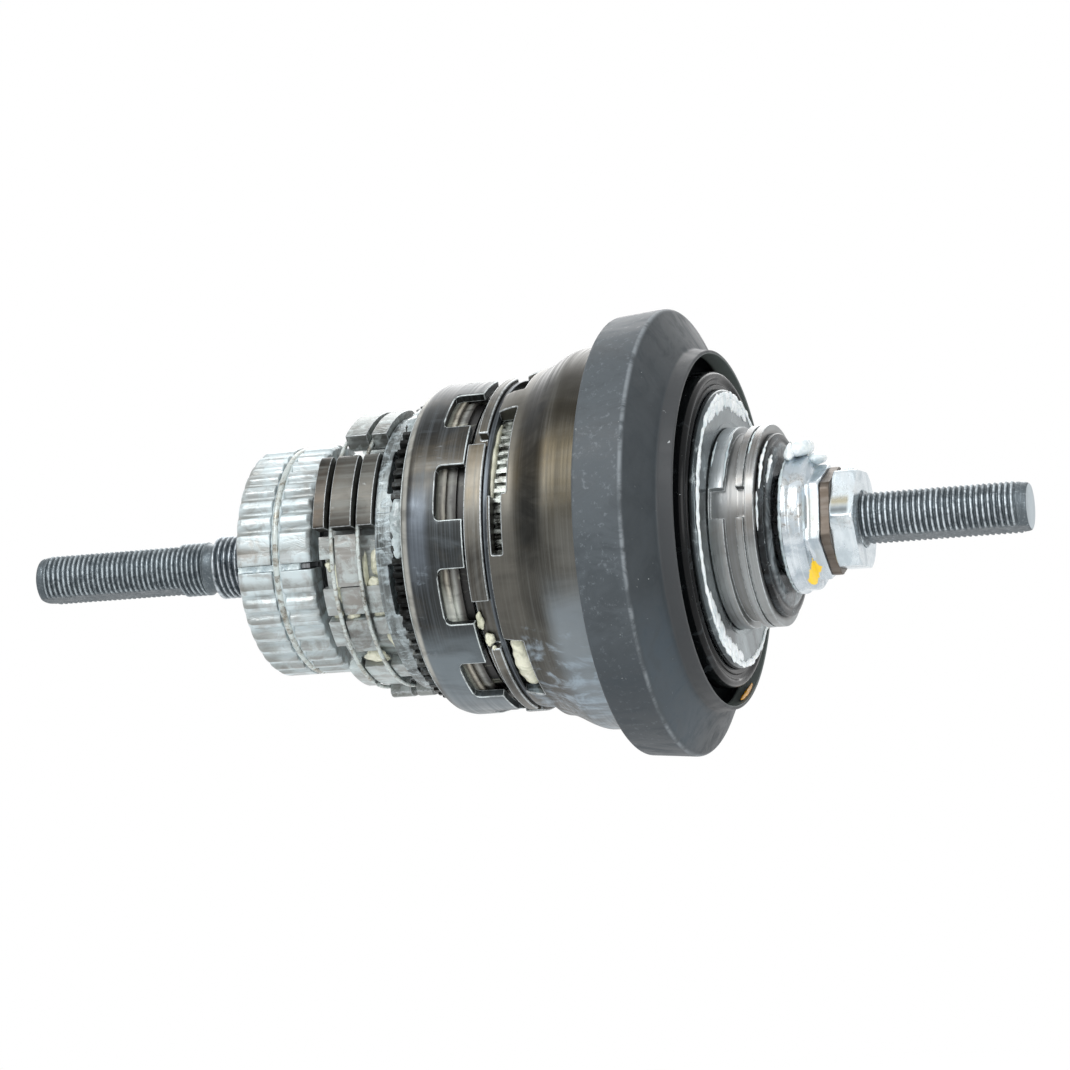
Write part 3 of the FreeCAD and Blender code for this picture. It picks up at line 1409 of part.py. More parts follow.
def write_all():
    os.makedirs("parts", exist_ok=True)
    for sub_part in sub_parts:
        sub_part.Shape.exportStep(os.path.join("parts", sub_part.Label + ".step"))
        print(sub_part.Label, len(sub_part.Shape.Solids), round(sub_part.Shape.Volume, 1))


make_all()
document.recompute()
check_all()
write_all()
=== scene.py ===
"""Looks of an internal hub gear unit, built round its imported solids.

The axle lies along X with the drive side at +X. Every shape is worked out in millimetres on a
grid of stations along the axle, radii and turns about it, and put into metres once, where a mesh
is made. A turn "phi" counts degrees about X from +Z towards -Y, so 90 faces the front.
"""

from __future__ import annotations

import logging
import math
from dataclasses import dataclass, field
from enum import Enum
from typing import Callable, Sequence, Union

import bpy
import numpy as np
from mathutils import Matrix


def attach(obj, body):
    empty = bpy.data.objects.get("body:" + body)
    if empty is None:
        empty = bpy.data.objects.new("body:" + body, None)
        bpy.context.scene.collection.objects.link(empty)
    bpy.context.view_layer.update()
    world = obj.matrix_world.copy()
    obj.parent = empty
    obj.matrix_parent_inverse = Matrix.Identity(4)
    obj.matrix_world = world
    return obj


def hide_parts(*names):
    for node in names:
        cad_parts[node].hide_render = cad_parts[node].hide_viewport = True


Array = np.ndarray
Piece = bpy.types.Object
Socket = bpy.types.NodeSocket
Screen = tuple[int, int, int]  # a colour's screen values, from 0 to 255
Span = tuple[float, float]
Triple = tuple[float, float, float]
Value = Union[float, Socket]

MM = 0.001
FULL_TURN = 360.0
FAR = 99.0  # a radius beyond the whole object
CLOSE = 1e-6  # lengths nearer than this are the same
log = logging.getLogger("hub_gear_unit")

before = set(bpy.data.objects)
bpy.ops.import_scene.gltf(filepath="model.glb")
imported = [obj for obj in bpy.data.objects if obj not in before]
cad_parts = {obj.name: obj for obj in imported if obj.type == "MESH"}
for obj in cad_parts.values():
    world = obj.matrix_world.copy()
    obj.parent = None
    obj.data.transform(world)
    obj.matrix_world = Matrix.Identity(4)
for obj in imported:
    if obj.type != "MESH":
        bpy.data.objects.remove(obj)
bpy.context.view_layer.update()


# Shapes


def place(x: Array | float, r: Array, phi: Array | float) -> Array:
    """Points from stations, radii and turns: (x, -r sin phi, r cos phi), in millimetres.

    Args:
        x, r, phi: Values or arrays that broadcast to one shape.

    Returns:
        The points, one row each.
    """
    turn = np.radians(phi)
    points = np.stack(np.broadcast_arrays(x, -r * np.sin(turn), r * np.cos(turn)), axis=-1)
    return points.reshape(-1, 3)


def make_piece(name: str, points: Array, faces: Sequence[Sequence[int]]) -> Piece:
    """A smooth-shaded mesh object at the origin.

    Args:
        name: The piece's name.
        points: Its points in millimetres, one row each.
        faces: Point numbers of each face, outward side anticlockwise.

    Returns:
        The new object, linked to the scene.
    """
    mesh = bpy.data.meshes.new(name)
    mesh.from_pydata((points * MM).tolist(), [], faces)
    mesh.polygons.foreach_set("use_smooth", np.ones(len(mesh.polygons), bool))
    mesh.update()
    piece = bpy.data.objects.new(name, mesh)
    bpy.context.scene.collection.objects.link(piece)
    return piece


def quads_between(rows: int, columns: int, rows_close: bool) -> Array:
    """Quads of a grid of points, numbered row by row, whose rows are closed rings.

    The normal of a quad is (along a column step) x (along a row step).

    Args:
        rows, columns: Number of grid points each way.
        rows_close: Whether the last row joins the first.

    Returns:
        One row of four point numbers for each quad.
    """
    i = np.arange(rows if rows_close else rows - 1)[:, None]
    k = np.arange(columns)[None, :]
    k_next, row, next_row = (k + 1) % columns, i * columns, (i + 1) % rows * columns
    corners = (row + k, row + k_next, next_row + k_next, next_row + k)
    return np.stack(corners, axis=-1).reshape(-1, 4)


def tube_faces(rows: int, columns: int) -> list[list[int]]:
    """Faces of a tube of grid points whose ends close to two poles, numbered after the grid.

    Args:
        rows, columns: Number of grid points along and round the tube.

    Returns:
        The quads, then the triangles at the first pole and at the last.
    """
    pole, last = rows * columns, (rows - 1) * columns
    k = np.arange(columns)
    k_next = (k + 1) % columns
    first_fan = np.stack([np.full(columns, pole), k_next, k], axis=-1)
    last_fan = np.stack([np.full(columns, pole + 1), last + k, last + k_next], axis=-1)
    quads = quads_between(rows, columns, False)
    return quads.tolist() + first_fan.tolist() + last_fan.tolist()


def marks_between(knots: Sequence[float], step: float) -> Array:
    """Marks that hold every knot, with no gap wider than a step.

    Args:
        knots: The rising values to hold.
        step: Widest gap.

    Returns:
        The marks.
    """
    runs = [np.linspace(a, b, max(1, math.ceil((b - a) / step)), endpoint=False)
            for a, b in zip(knots[:-1], knots[1:])]
    return np.concatenate(runs + [[knots[-1]]])


def turn_marks(breaks: Sequence[float], step: float, start: float = 0.0, end: float = FULL_TURN,
               closed: bool = False) -> Array:
    """Turns from start to end that hold every break, with no gap wider than a step.

    Args:
        breaks: Turns that have to be among the marks.
        step: Widest gap in degrees.
        start, end: First and last turn.
        closed: Whether the last mark is the first again, and is left out.

    Returns:
        The rising marks.
    """
    wanted = np.asarray(breaks, float)
    wanted = wanted % FULL_TURN if closed else wanted
    wanted = wanted[(wanted > start) & (wanted < end)]
    knots = np.unique(np.round(np.concatenate([[start], wanted, [end]]), 5))
    marks = marks_between(knots, step)[:-1]
    return marks if closed else np.append(marks, end)


@dataclass
class Blocks:
    """A solid of cells between stations, radii and turns: the filled cells' outer faces.

    Stations and radii may be warped afterwards, because each grid point keeps its own x, r and phi.
    """

    stations: Sequence[float]
    radii: Sequence[float]
    turns: Array
    closed: bool = False
    x: Array = field(init=False)
    r: Array = field(init=False)
    phi: Array = field(init=False)
    full: Array = field(init=False)

    def __post_init__(self) -> None:
        """Spread the three lists over the grid, with no cell filled."""
        grid = np.meshgrid(np.asarray(self.stations, float), np.asarray(self.radii, float),
                           self.turns, indexing="ij")
        self.x, self.r, self.phi = (values.copy() for values in grid)
        columns = len(self.turns) if self.closed else len(self.turns) - 1
        self.full = np.zeros((len(self.stations) - 1, len(self.radii) - 1, columns), bool)

    def inside(self, x: Span, r: Span, phi: Span) -> Array:
        """Cells whose middle lies in a span of stations, radii and turns.

        Args:
            x, r, phi: First and last station, radius and turn.

        Returns:
            A mask of the cells.
        """
        turns = np.append(self.turns, self.turns[0] + FULL_TURN) if self.closed else self.turns
        lists = (np.asarray(values, float) for values in (self.stations, self.radii, turns))
        at, out, round_at = ((values[1:] + values[:-1]) / 2 for values in lists)
        width = phi[1] - phi[0]
        at_turn = ((round_at - phi[0]) % FULL_TURN < width) | (width >= FULL_TURN)
        at_x, at_r = (at > x[0]) & (at < x[1]), (out > r[0]) & (out < r[1])
        return at_x[:, None, None] & at_r[None, :, None] & at_turn[None, None, :]

    def fill(self, x: Span, r: Span, phi: Span = (0.0, FULL_TURN)) -> Blocks:
        """Fill a span of cells."""
        self.full |= self.inside(x, r, phi)
        return self

    def clear(self, x: Span, r: Span, phi: Span = (0.0, FULL_TURN)) -> Blocks:
        """Empty a span of cells."""
        self.full &= ~self.inside(x, r, phi)
        return self

    def piece(self, name: str) -> Piece:
        """The outer faces of the filled cells as a closed mesh.

        A face lies wherever a filled cell meets an empty one. Directions (x, r, phi) make a
        right-handed set, so a face that looks along one of them runs round the other two in order.

        Args:
            name: The piece's name.

        Returns:
            The new object.
        """
        levels, columns = self.x.shape[1], self.x.shape[2]
        padded = np.pad(self.full, ((1, 1), (1, 1), (0, 0)))
        wrap = np.concatenate([padded[:, :, -1:], padded, padded[:, :, :1]], axis=2)
        if not self.closed:
            wrap[:, :, 0] = wrap[:, :, -1] = False
        offsets = {0: ((0, 0, 0), (0, 1, 0), (0, 1, 1), (0, 0, 1)),
                   1: ((0, 0, 0), (0, 0, 1), (1, 0, 1), (1, 0, 0)),
                   2: ((0, 0, 0), (1, 0, 0), (1, 1, 0), (0, 1, 0))}
        found = []
        for axis, corners in offsets.items():
            ahead = np.moveaxis(wrap, axis, 0)
            behind, front = ahead[:-1], ahead[1:]
            for solid, order in ((behind & ~front, 1), (front & ~behind, -1)):
                cells = np.argwhere(np.moveaxis(solid, 0, axis))
                cells = cells - np.array([0 if a == axis else 1 for a in range(3)])
                if self.closed:
                    cells = cells[(cells[:, 2] >= 0) & (cells[:, 2] < columns)]
                at = cells[:, None, :] + np.array(corners)
                quads = (at[..., 0] * levels + at[..., 1]) * columns + at[..., 2] % columns
                found.append(quads[:, ::order])
        quads = np.concatenate(found)
        used, quads = np.unique(quads, return_inverse=True)
        points = place(self.x, self.r, self.phi)[used]
        return make_piece(name, points, quads.reshape(-1, 4).tolist())


def eased(corners: Sequence[tuple[float, float, float]], steps: int = 4) -> Array:
    """A closed outline whose corners are eased by a curve through the corner's pull.

    Each corner (x, r, ease) becomes the quadratic curve from a point at distance ease before it
    to one at distance ease after it.

    Args:
        corners: Station, radius and ease of each corner.
        steps: Points on each eased corner, less one.

    Returns:
        The outline's (x, r) points.
    """
    places = np.array([corner[:2] for corner in corners], float)
    ease = np.array([corner[2] for corner in corners], float)
    ends = []
    for step in (1, -1):
        way = np.roll(places, step, axis=0) - places
        length = np.linalg.norm(way, axis=1)
        reach = np.minimum(ease, 0.48 * length)
        ends.append(places + way / length[:, None] * reach[:, None])
    start, middle, end = ends[0][:, None], places[:, None], ends[1][:, None]
    t = np.linspace(0.0, 1.0, steps + 1)[None, :, None]
    curve = (1 - t) ** 2 * start + 2 * t * (1 - t) * middle + t ** 2 * end
    sharp = np.repeat((ease <= 0)[:, None], steps + 1, axis=1)
    sharp[:, 0] = False
    return curve.reshape(-1, 2)[~sharp.reshape(-1)]


Radius = Callable[[Array, Array, Array], Array]


def lathe(name: str, outline: Array, segments: int, radius: Radius | None = None) -> Piece:
    """A closed outline carried once round the axle.

    Args:
        name: The piece's name.
        outline: (x, r) points, clockwise with x to the right and r upwards.
        segments: Steps round the axle.
        radius: Takes x, r and phi on the grid and gives the real radius, where it is not r.

    Returns:
        The new object.
    """
    phi = np.arange(segments) * FULL_TURN / segments
    x, turns = np.meshgrid(outline[:, 0], phi, indexing="ij")
    r = np.repeat(outline[:, 1][:, None], segments, axis=1)
    if radius is not None:
        r = radius(x, r, turns)
    quads = quads_between(len(outline), segments, True)
    return make_piece(name, place(x, r, turns), quads.tolist())


def around(phi: float, angle: float, count: int) -> list[Span]:
    """First and last turn of equal arcs spread evenly round the axle."""
    starts = [phi + FULL_TURN * k / count for k in range(count)]
    return [(start, start + angle) for start in starts]


def ripple(angle: Array, waves: Sequence[int], seed: int) -> Array:
    """A closed random wave between -1 and 1: sines of the given counts with seeded phases.

    Args:
        angle: Angles in radians.
        waves: Waves to a full turn of each sine.
        seed: Picks the phases and heights.

    Returns:
        The wave's height at each angle.
    """
    random = np.random.default_rng(seed)
    phase = random.uniform(0, 2 * math.pi, len(waves))
    height = random.uniform(0.5, 1.0, len(waves))
    parts = height * np.sin(np.asarray(angle)[..., None] * np.asarray(waves) + phase)
    return parts.sum(axis=-1) / height.sum()


@dataclass(frozen=True)
class Bead:
    """A bead of grease laid round the axle: a ring tube whose place and thickness wander.

    At a turn, the tube's centre is (x, r) plus slow waves and its half sizes are half times
    one plus quick waves; an arc's ends taper to a point.

    Attributes:
        name: The piece's name.
        seed: Picks the waves.
        x, r: Station and radius of its line.
        half: Half its size along the axle and outwards.
        uneven: How far its line wanders, and the share by which its thickness varies.
        turns: First and last turn; a full turn makes a ring.
        steps: Points along it.
    """

    name: str
    seed: int
    x: float
    r: float
    half: Span
    uneven: Span
    turns: Span = (0.0, FULL_TURN)
    steps: int = 90

    def make(self) -> Piece:
        """Work out the tube's rings of points and join them.

        Returns:
            The new object.
        """
        sides, taper = 10, 0.02
        ring = self.turns[1] - self.turns[0] >= FULL_TURN
        phi = np.linspace(*self.turns, self.steps, endpoint=not ring)
        angle = np.radians(phi)
        thick = 1 + self.uneven[1] * ripple(angle, (9, 17, 31, 47, 71), self.seed)
        line = self.r + self.uneven[0] * ripple(angle, (3, 5, 11, 23, 37), self.seed + 1)
        if not ring:
            thick = thick * np.sin(np.linspace(taper, math.pi - taper, self.steps)) ** 0.35
        sweep = np.linspace(0, 2 * math.pi, sides, endpoint=False)
        fringe = ripple(angle[:, None] + sweep[None, :], (13, 41), self.seed + 2)
        size = thick[:, None] * (1 + 0.25 * self.uneven[1] * fringe)
        x = self.x + self.half[0] * size * np.cos(sweep)[None, :]
        r = line[:, None] + self.half[1] * size * np.sin(sweep)[None, :]
        faces = quads_between(self.steps, sides, ring).tolist()
        if not ring:
            numbers = np.arange(sides)
            faces += [numbers[::-1].tolist(), (numbers + (self.steps - 1) * sides).tolist()]
        return make_piece(self.name, place(x, r, phi[:, None]), faces)


@dataclass(frozen=True)
class Lump:
    """A lump of grease: an ellipsoid about (x, r, phi) whose surface is pushed by slow waves.

    Attributes:
        name: The piece's name.
        seed: Picks the waves.
        x, r, phi: Its middle.
        half: Half its size along the axle, outwards, and round the axle in millimetres.
        uneven: Share by which its surface varies.
    """

    name: str
    seed: int
    x: float
    r: float
    phi: float
    half: Triple
    uneven: float = 0.25

    def make(self) -> Piece:
        """Work out the rings of points between two poles and join them.

        Returns:
            The new object.
        """
        rings, sides = 12, 20
        polar = np.linspace(0, math.pi, rings + 2)[1:-1][:, None]
        sweep = np.linspace(0, 2 * math.pi, sides, endpoint=False)[None, :]
        push = 1 + self.uneven * ripple(sweep + 0 * polar, (2, 3, 5), self.seed) * np.sin(polar)
        push = push * (1 + self.uneven * ripple(polar + 0 * sweep, (2, 3), self.seed + 1))
        x = self.x + self.half[0] * push * np.sin(polar) * np.cos(sweep)
        along = self.half[2] * push * np.sin(polar) * np.sin(sweep)
        r = self.r + self.half[1] * push * np.cos(polar)
        ends = self.r + self.half[1] * np.array([1.0, -1.0])
        points = np.concatenate([place(x, r, self.phi + np.degrees(along / self.r)),
                                 place(self.x, ends, self.phi)])
        return make_piece(self.name, points, tube_faces(rings, sides))


def soften(piece: Piece, width: float, edge_slot: int = 0, held_back: bool = True) -> Piece:
    """Bevel a piece's sharp edges.

    Args:
        piece: The piece.
        width: The bevel's width in millimetres.
        edge_slot: Number of the material that the bevels take.
        held_back: Whether a bevel stops short of its neighbours.

    Returns:
        The same piece.
    """
    bevel = piece.modifiers.new("edges", "BEVEL")
    bevel.width = width * MM
    bevel.segments = 2
    bevel.limit_method = "ANGLE"
    bevel.angle_limit = math.radians(32.0)
    bevel.use_clamp_overlap = held_back
    bevel.material = edge_slot
    bevel.miter_outer = "MITER_ARC"
    return weigh(piece)


def weigh(piece: Piece) -> Piece:
    """Shade a piece by its large faces, so that flat ones stay flat.

    Args:
        piece: The piece.

    Returns:
        The same piece.
    """
    normals = piece.modifiers.new("normals", "WEIGHTED_NORMAL")
    normals.mode = "FACE_AREA"
    normals.weight = 80
    return piece


# Finishes


def linear(red: int, green: int, blue: int) -> tuple[float, float, float, float]:
    """A colour's screen values as the linear values that shaders take.

    Args:
        red, green, blue: The screen values, from 0 to 255.

    Returns:
        Linear red, green, blue and full alpha.
    """
    share = np.array([red, green, blue]) / 255.0
    values = np.where(share <= 0.04045, share / 12.92, ((share + 0.055) / 1.055) ** 2.4)
    return (float(values[0]), float(values[1]), float(values[2]), 1.0)


class Nodes:
    """Adds nodes to one tree."""

    def __init__(self, tree: bpy.types.NodeTree) -> None:
        """Keep the tree."""
        self.tree = tree

    def node(self, kind: str, inputs: dict[int | str, Value | Screen | Triple] | None = None,
             **settings: object) -> bpy.types.Node:
        """Add a node.

        Args:
            kind: Blender's name for the node.
            inputs: A value or a link for each named or numbered input.
            settings: The node's own settings.

        Returns:
            The new node.
        """
        made = self.tree.nodes.new(kind)
        for key, value in settings.items():
            setattr(made, key, value)
        for key, value in (inputs or {}).items():
            self.give(made.inputs[key], value)
        return made

    def give(self, socket: Socket, value: Value | Screen | Triple) -> None:
        """Link a socket to another's output, or set its own value.

        Args:
            socket: The input.
            value: An output, a number, or three; a colour is given by its screen values.
        """
        if isinstance(value, bpy.types.NodeSocket):
            self.tree.links.new(value, socket)
        else:
            socket.default_value = linear(*value) if socket.type == "RGBA" else value

    def math(self, operation: str, first: Value, second: Value = 0.0) -> Socket:
        """A plain operation on two values."""
        return self.node("ShaderNodeMath", {0: first, 1: second}, operation=operation).outputs[0]

    def times(self, first: Value, second: Value) -> Socket:
        """The product of two values."""
        return self.math("MULTIPLY", first, second)

    def span(self, value: Value, low: float, high: float, to_low: float = 0.0,
             to_high: float = 1.0) -> Socket:
        """Carry the span low to high smoothly onto another span, and hold it beyond."""
        return self.node("ShaderNodeMapRange", {0: value, 1: low, 2: high, 3: to_low, 4: to_high},
                         interpolation_type="SMOOTHSTEP").outputs[0]


class Shader(Nodes):
    """Writes one material's nodes in terms of the object's own coordinates."""

    def __init__(self, name: str) -> None:
        """Start a material and work out the place, radius and turn of a point.

        Args:
            name: The material's name.
        """
        material = bpy.data.materials.new(name)
        material.use_nodes = True
        super().__init__(material.node_tree)
        self.surface = self.tree.nodes["Principled BSDF"]
        self.place = self.node("ShaderNodeTexCoord").outputs["Object"]
        self.x, y, z = self.node("ShaderNodeSeparateXYZ", {0: self.place}).outputs
        flat = self.node("ShaderNodeCombineXYZ", {1: y, 2: z}).outputs[0]
        length = self.node("ShaderNodeVectorMath", {0: flat}, operation="LENGTH")
        self.radius = length.outputs["Value"]
        self.turn = self.times(self.math("ARCTAN2", self.times(y, -1.0), z), 180.0 / math.pi)

    def noise(self, scale: float | Triple, detail: float = 4.0, rough: float = 0.55,
              twist: float = 0.0) -> Socket:
        """Cloudy noise from 0 to 1.

        Args:
            scale: Waves per metre: one number for even noise, or three, along x, y and z, for
                noise that lies in streaks.
            detail, rough, twist: The noise's own detail, roughness and distortion.

        Returns:
            The noise.
        """
        vector, size = self.place, scale
        if isinstance(scale, tuple):
            vector = self.node("ShaderNodeMapping", {"Vector": vector, "Scale": scale}).outputs[0]
            size = 1.0
        return self.node("ShaderNodeTexNoise", {"Vector": vector, "Scale": size, "Detail": detail,
                                                "Roughness": rough, "Distortion": twist}).outputs[0]

    def within(self, value: Value, low: float, high: float, fade: float) -> Socket:
        """1 between two bounds and 0 beyond them.

        Args:
            value: What is measured.
            low, high: The bounds.
            fade: Half the width of the soft fade at each.

        Returns:
            The mask.
        """
        above = self.span(value, low - fade, low + fade)
        below = self.span(value, high - fade, high + fade, 1.0, 0.0)
        return self.times(above, below)

    def band(self, length: Socket, low: float, high: float, fade: float) -> Socket:
        """1 where a length lies between two bounds in millimetres, as within gives it."""
        return self.within(length, low * MM, high * MM, fade * MM)

    def climb(self, length: Socket, low: float, high: float, first: float = 0.0,
              last: float = 1.0) -> Socket:
        """From first to last, as a length goes from low to high in millimetres."""
        return self.span(length, low * MM, high * MM, first, last)

    def mix(self, share: Value, first: Socket | Screen, second: Socket | Screen) -> Socket:
        """A colour between two colours.

        Args:
            share: Share of the second.
            first, second: The colours.

        Returns:
            The mixed colour.
        """
        made = self.node("ShaderNodeMix", data_type="RGBA")
        for number, value in ((0, share), (6, first), (7, second)):
            self.give(made.inputs[number], value)
        return made.outputs[2]

    def spots(self, tone: Socket | Screen, colour: Screen, noise: Socket, low: float, high: float,
              share: float) -> Socket:
        """Lay a colour over a tone where a noise climbs from low to high, at most by a share."""
        return self.mix(self.span(noise, low, high, 0.0, share), tone, colour)

    def relief(self, height: Value, strength: float, depth: float,
               under: Socket | None = None) -> Socket:
        """A bump.

        Args:
            height: Its height from 0 to 1.
            strength: Its share.
            depth: Its depth in millimetres.
            under: An earlier bump that it is laid over.

        Returns:
            The normal.
        """
        inputs = {"Strength": strength, "Distance": depth * MM, "Height": height}
        if under is not None:
            inputs["Normal"] = under
        return self.node("ShaderNodeBump", inputs).outputs[0]

    def set(self, **inputs: Value | Triple) -> None:
        """Give the surface its inputs.

        Args:
            inputs: The surface shader's inputs by name, with _ for a space.
        """
        for name, value in inputs.items():
            self.give(self.surface.inputs[name.replace("_", " ")], value)


class Grain(Enum):
    """Which way a metal's fine lines run: streaks per metre along x, y and z."""

    TURNED = (2600.0, 30.0, 30.0)
    DRAWN = (45.0, 900.0, 900.0)
    GROUND = (1500.0, 1500.0, 1500.0)


@dataclass(frozen=True)
class Zone:
    """A patch between two stations and two turns that takes another colour.

    Attributes:
        x, turn: Its stations and turns.
        colour: Its colour, by its screen values.
        share: How much of the colour it takes.
        fade, soft: Half the width of its edges, in millimetres along x and degrees in turn.
    """

    x: Span
    turn: Span
    colour: Screen
    share: float
    fade: float = 0.5
    soft: float = 8.0

    def lay(self, shader: Shader, tone: Socket, uneven: Socket) -> Socket:
        """Mix the colour in, less where a noise is low.

        Args:
            shader: The material's nodes.
            tone: The colour below.
            uneven: The noise.

        Returns:
            The mixed colour.
        """
        across = shader.band(shader.x, *self.x, self.fade)
        along = shader.within(shader.turn, *self.turn, self.soft)
        depth = shader.span(uneven, 0.3, 0.6, 0.55 * self.share, self.share)
        return shader.mix(shader.times(shader.times(across, along), depth), tone, self.colour)


@dataclass(frozen=True)
class Finish:
    """What all finishes share: a name, and a material that is made at its first use."""

    name: str

    def material(self) -> bpy.types.Material:
        """The material, made at its first use.

        Returns:
            The one material of this name.
        """
        if self.name not in bpy.data.materials:
            self.write(Shader(self.name))
        return bpy.data.materials[self.name]

    def write(self, shader: Shader) -> None:
        """Write the nodes; each finish has its own."""
        raise NotImplementedError(self.name)


def lay_zones(zones: Sequence[Zone], shader: Shader, tone: Socket, uneven: Socket) -> Socket:
    """Lay zones over a tone, one after another.

    Args:
        zones: The zones.
        shader: The material's nodes.
        tone: The colour below.
        uneven: The noise that thins them.

    Returns:
        The mixed colour.
    """
    for zone in zones:
        tone = zone.lay(shader, tone, uneven)
    return tone


@dataclass(frozen=True)
class Steel(Finish):
    """Bare or oiled steel: fine lines, cloudy tone, brownish stains, a painted highlight, painted
    shade on ribs, and a milky film of grease.

    Attributes:
        base, dark, bright: Its tones, by their screen values.
        grain, lines: Which way its fine lines run, and their share.
        roughness, metallic: The surface's own.
        stain_and_painted_light, stained: The colour of the brownish stains, which also serves as
            painted highlight and painted shade, and the stains' share.
        film, film_colour: How much of it the milky film covers, and its colour.
        cloud: Clouds per metre.
        valley: Radii between which the tone goes dark.
        ribs: First turn and pitch of ribs whose lower flanks take painted shade.
        crisp: Stations between which the ribs' painted shade goes from even to patchy.
        soaked: Turns where the film lies thicker.
        warm_highlight, warm_highlight_share: Turns that take the stain_and_painted_light colour as
            a painted highlight, and its share.
        zones, bare: Zones under and over the film.
    """

    base: Screen
    dark: Screen
    bright: Screen
    grain: Grain = Grain.TURNED
    lines: float = 0.6
    roughness: float = 0.34
    stain_and_painted_light: Screen = (120, 98, 70)
    stained: float = 0.0
    film: float = 0.0
    film_colour: Screen = (214, 222, 222)
    cloud: float = 90.0
    metallic: float = 0.92
    valley: Span | None = None
    ribs: Span | None = None
    soaked: Span | None = None
    warm_highlight: Span | None = None
    warm_highlight_share: float = 0.9
    zones: tuple[Zone, ...] = ()
    bare: tuple[Zone, ...] = ()
    crisp: Span | None = None

    def cover(self, shader: Shader) -> Socket:
        """Where the milky film lies: clouds and axial streaks, thicker in the soaked turns.

        Args:
            shader: The material's nodes.

        Returns:
            The film's thickness.
        """
        patches = shader.noise(self.cloud * 1.7, 6.0, 0.62, 1.8)
        across = self.cloud * 4.0
        streaks = shader.noise((self.cloud * 0.9, across, across), 5.0, 0.6, 1.2)
        cover = shader.math("ADD", shader.times(patches, 0.6), shader.times(streaks, 0.4))
        if self.soaked is not None:
            zone = shader.within(shader.turn, *self.soaked, 9.0)
            cover = shader.math("ADD", cover, shader.times(zone, 0.16))
        return cover

    def flanks(self, shader: Shader, ribs: Span) -> Socket:
        """Where the lower flank of each rib takes painted shade, in patches.

        Args:
            shader: The material's nodes.
            ribs: First turn and pitch of the ribs.

        Returns:
            The mask.
        """
        turn = shader.math("DIVIDE", shader.math("SUBTRACT", shader.turn, ribs[0]), ribs[1])
        lower = shader.span(shader.math("FRACT", turn), 0.35, 0.9)
        painted_shade = shader.span(shader.noise((60.0, 260.0, 260.0), 4.0, 0.6, 1.0), 0.38, 0.6, 0.08, 0.6)
        if self.crisp is not None:
            painted_shade = shader.math("MAXIMUM", painted_shade, shader.climb(shader.x, *self.crisp, 0.75, 0.0))
        return shader.times(lower, painted_shade)

    def write(self, shader: Shader) -> None:
        """Write the nodes.

        Tone runs from dark through base to bright by fine lines and clouds; the stains and the
        film lie in patches of slow noise; in a valley, between two radii, the tone goes dark.

        Args:
            shader: The new material's nodes.
        """
        fine = shader.noise(self.grain.value, 3.0, 0.6)
        broad = shader.noise(self.cloud, 5.0, 0.6, 0.6)
        smear = shader.noise((self.cloud * 0.5, self.cloud * 2.2, self.cloud * 2.2), 4.0, 0.6, 0.9)
        scratch = shader.noise(self.cloud * 12, 2.0, 0.7, 2.0)
        tone = shader.mix(shader.span(broad, 0.32, 0.7), self.dark, self.base)
        tone = shader.spots(tone, self.bright, fine, 0.42, 0.72, self.lines)
        tone = shader.spots(tone, self.bright, smear, 0.55, 0.8, 0.55)
        tone = shader.spots(tone, self.dark, scratch, 0.62, 0.75, 0.35)
        if self.stained > 0:
            patches = shader.noise(self.cloud * 0.7, 4.0, 0.6, 1.4)
            tone = shader.spots(tone, self.stain_and_painted_light, patches, 0.5, 0.72, self.stained)
        # Painted highlight: the stain_and_painted_light colour laid over the warm_highlight turns,
        # patchy by the smear noise.
        if self.warm_highlight is not None:
            uneven = shader.span(smear, 0.34, 0.62, 0.28 * self.warm_highlight_share, self.warm_highlight_share)
            glow = shader.times(shader.within(shader.turn, *self.warm_highlight, 7.0), uneven)
            tone = shader.mix(glow, tone, self.stain_and_painted_light)
        tone = lay_zones(self.zones, shader, tone, smear)
        if self.valley is not None:
            tone = shader.mix(shader.climb(shader.radius, *self.valley, 0.8, 0.0), tone, self.dark)
        metal: Value = self.metallic
        normal = shader.relief(fine, 0.25, 0.04)
        if self.film > 0:
            edge = 0.72 - 0.42 * self.film
            most = min(1.0, 0.55 + 0.4 * self.film)
            mask = shader.span(self.cover(shader), edge - 0.07, edge + 0.09, 0.0, most)
            tone = shader.mix(mask, tone, self.film_colour)
            metal = shader.times(shader.math("SUBTRACT", 1.0, mask), self.metallic)
            normal = shader.relief(mask, 0.5, 0.12, normal)
        # Painted shade on the ribs' lower flanks, in the stain_and_painted_light colour.
        if self.ribs is not None:
            tone = shader.mix(self.flanks(shader, self.ribs), tone, self.stain_and_painted_light)
        tone = lay_zones(self.bare, shader, tone, smear)
        rough = shader.span(fine, 0.3, 0.75, self.roughness - 0.08, self.roughness + 0.12)
        shader.set(Base_Color=tone, Metallic=metal, Roughness=rough, Normal=normal)


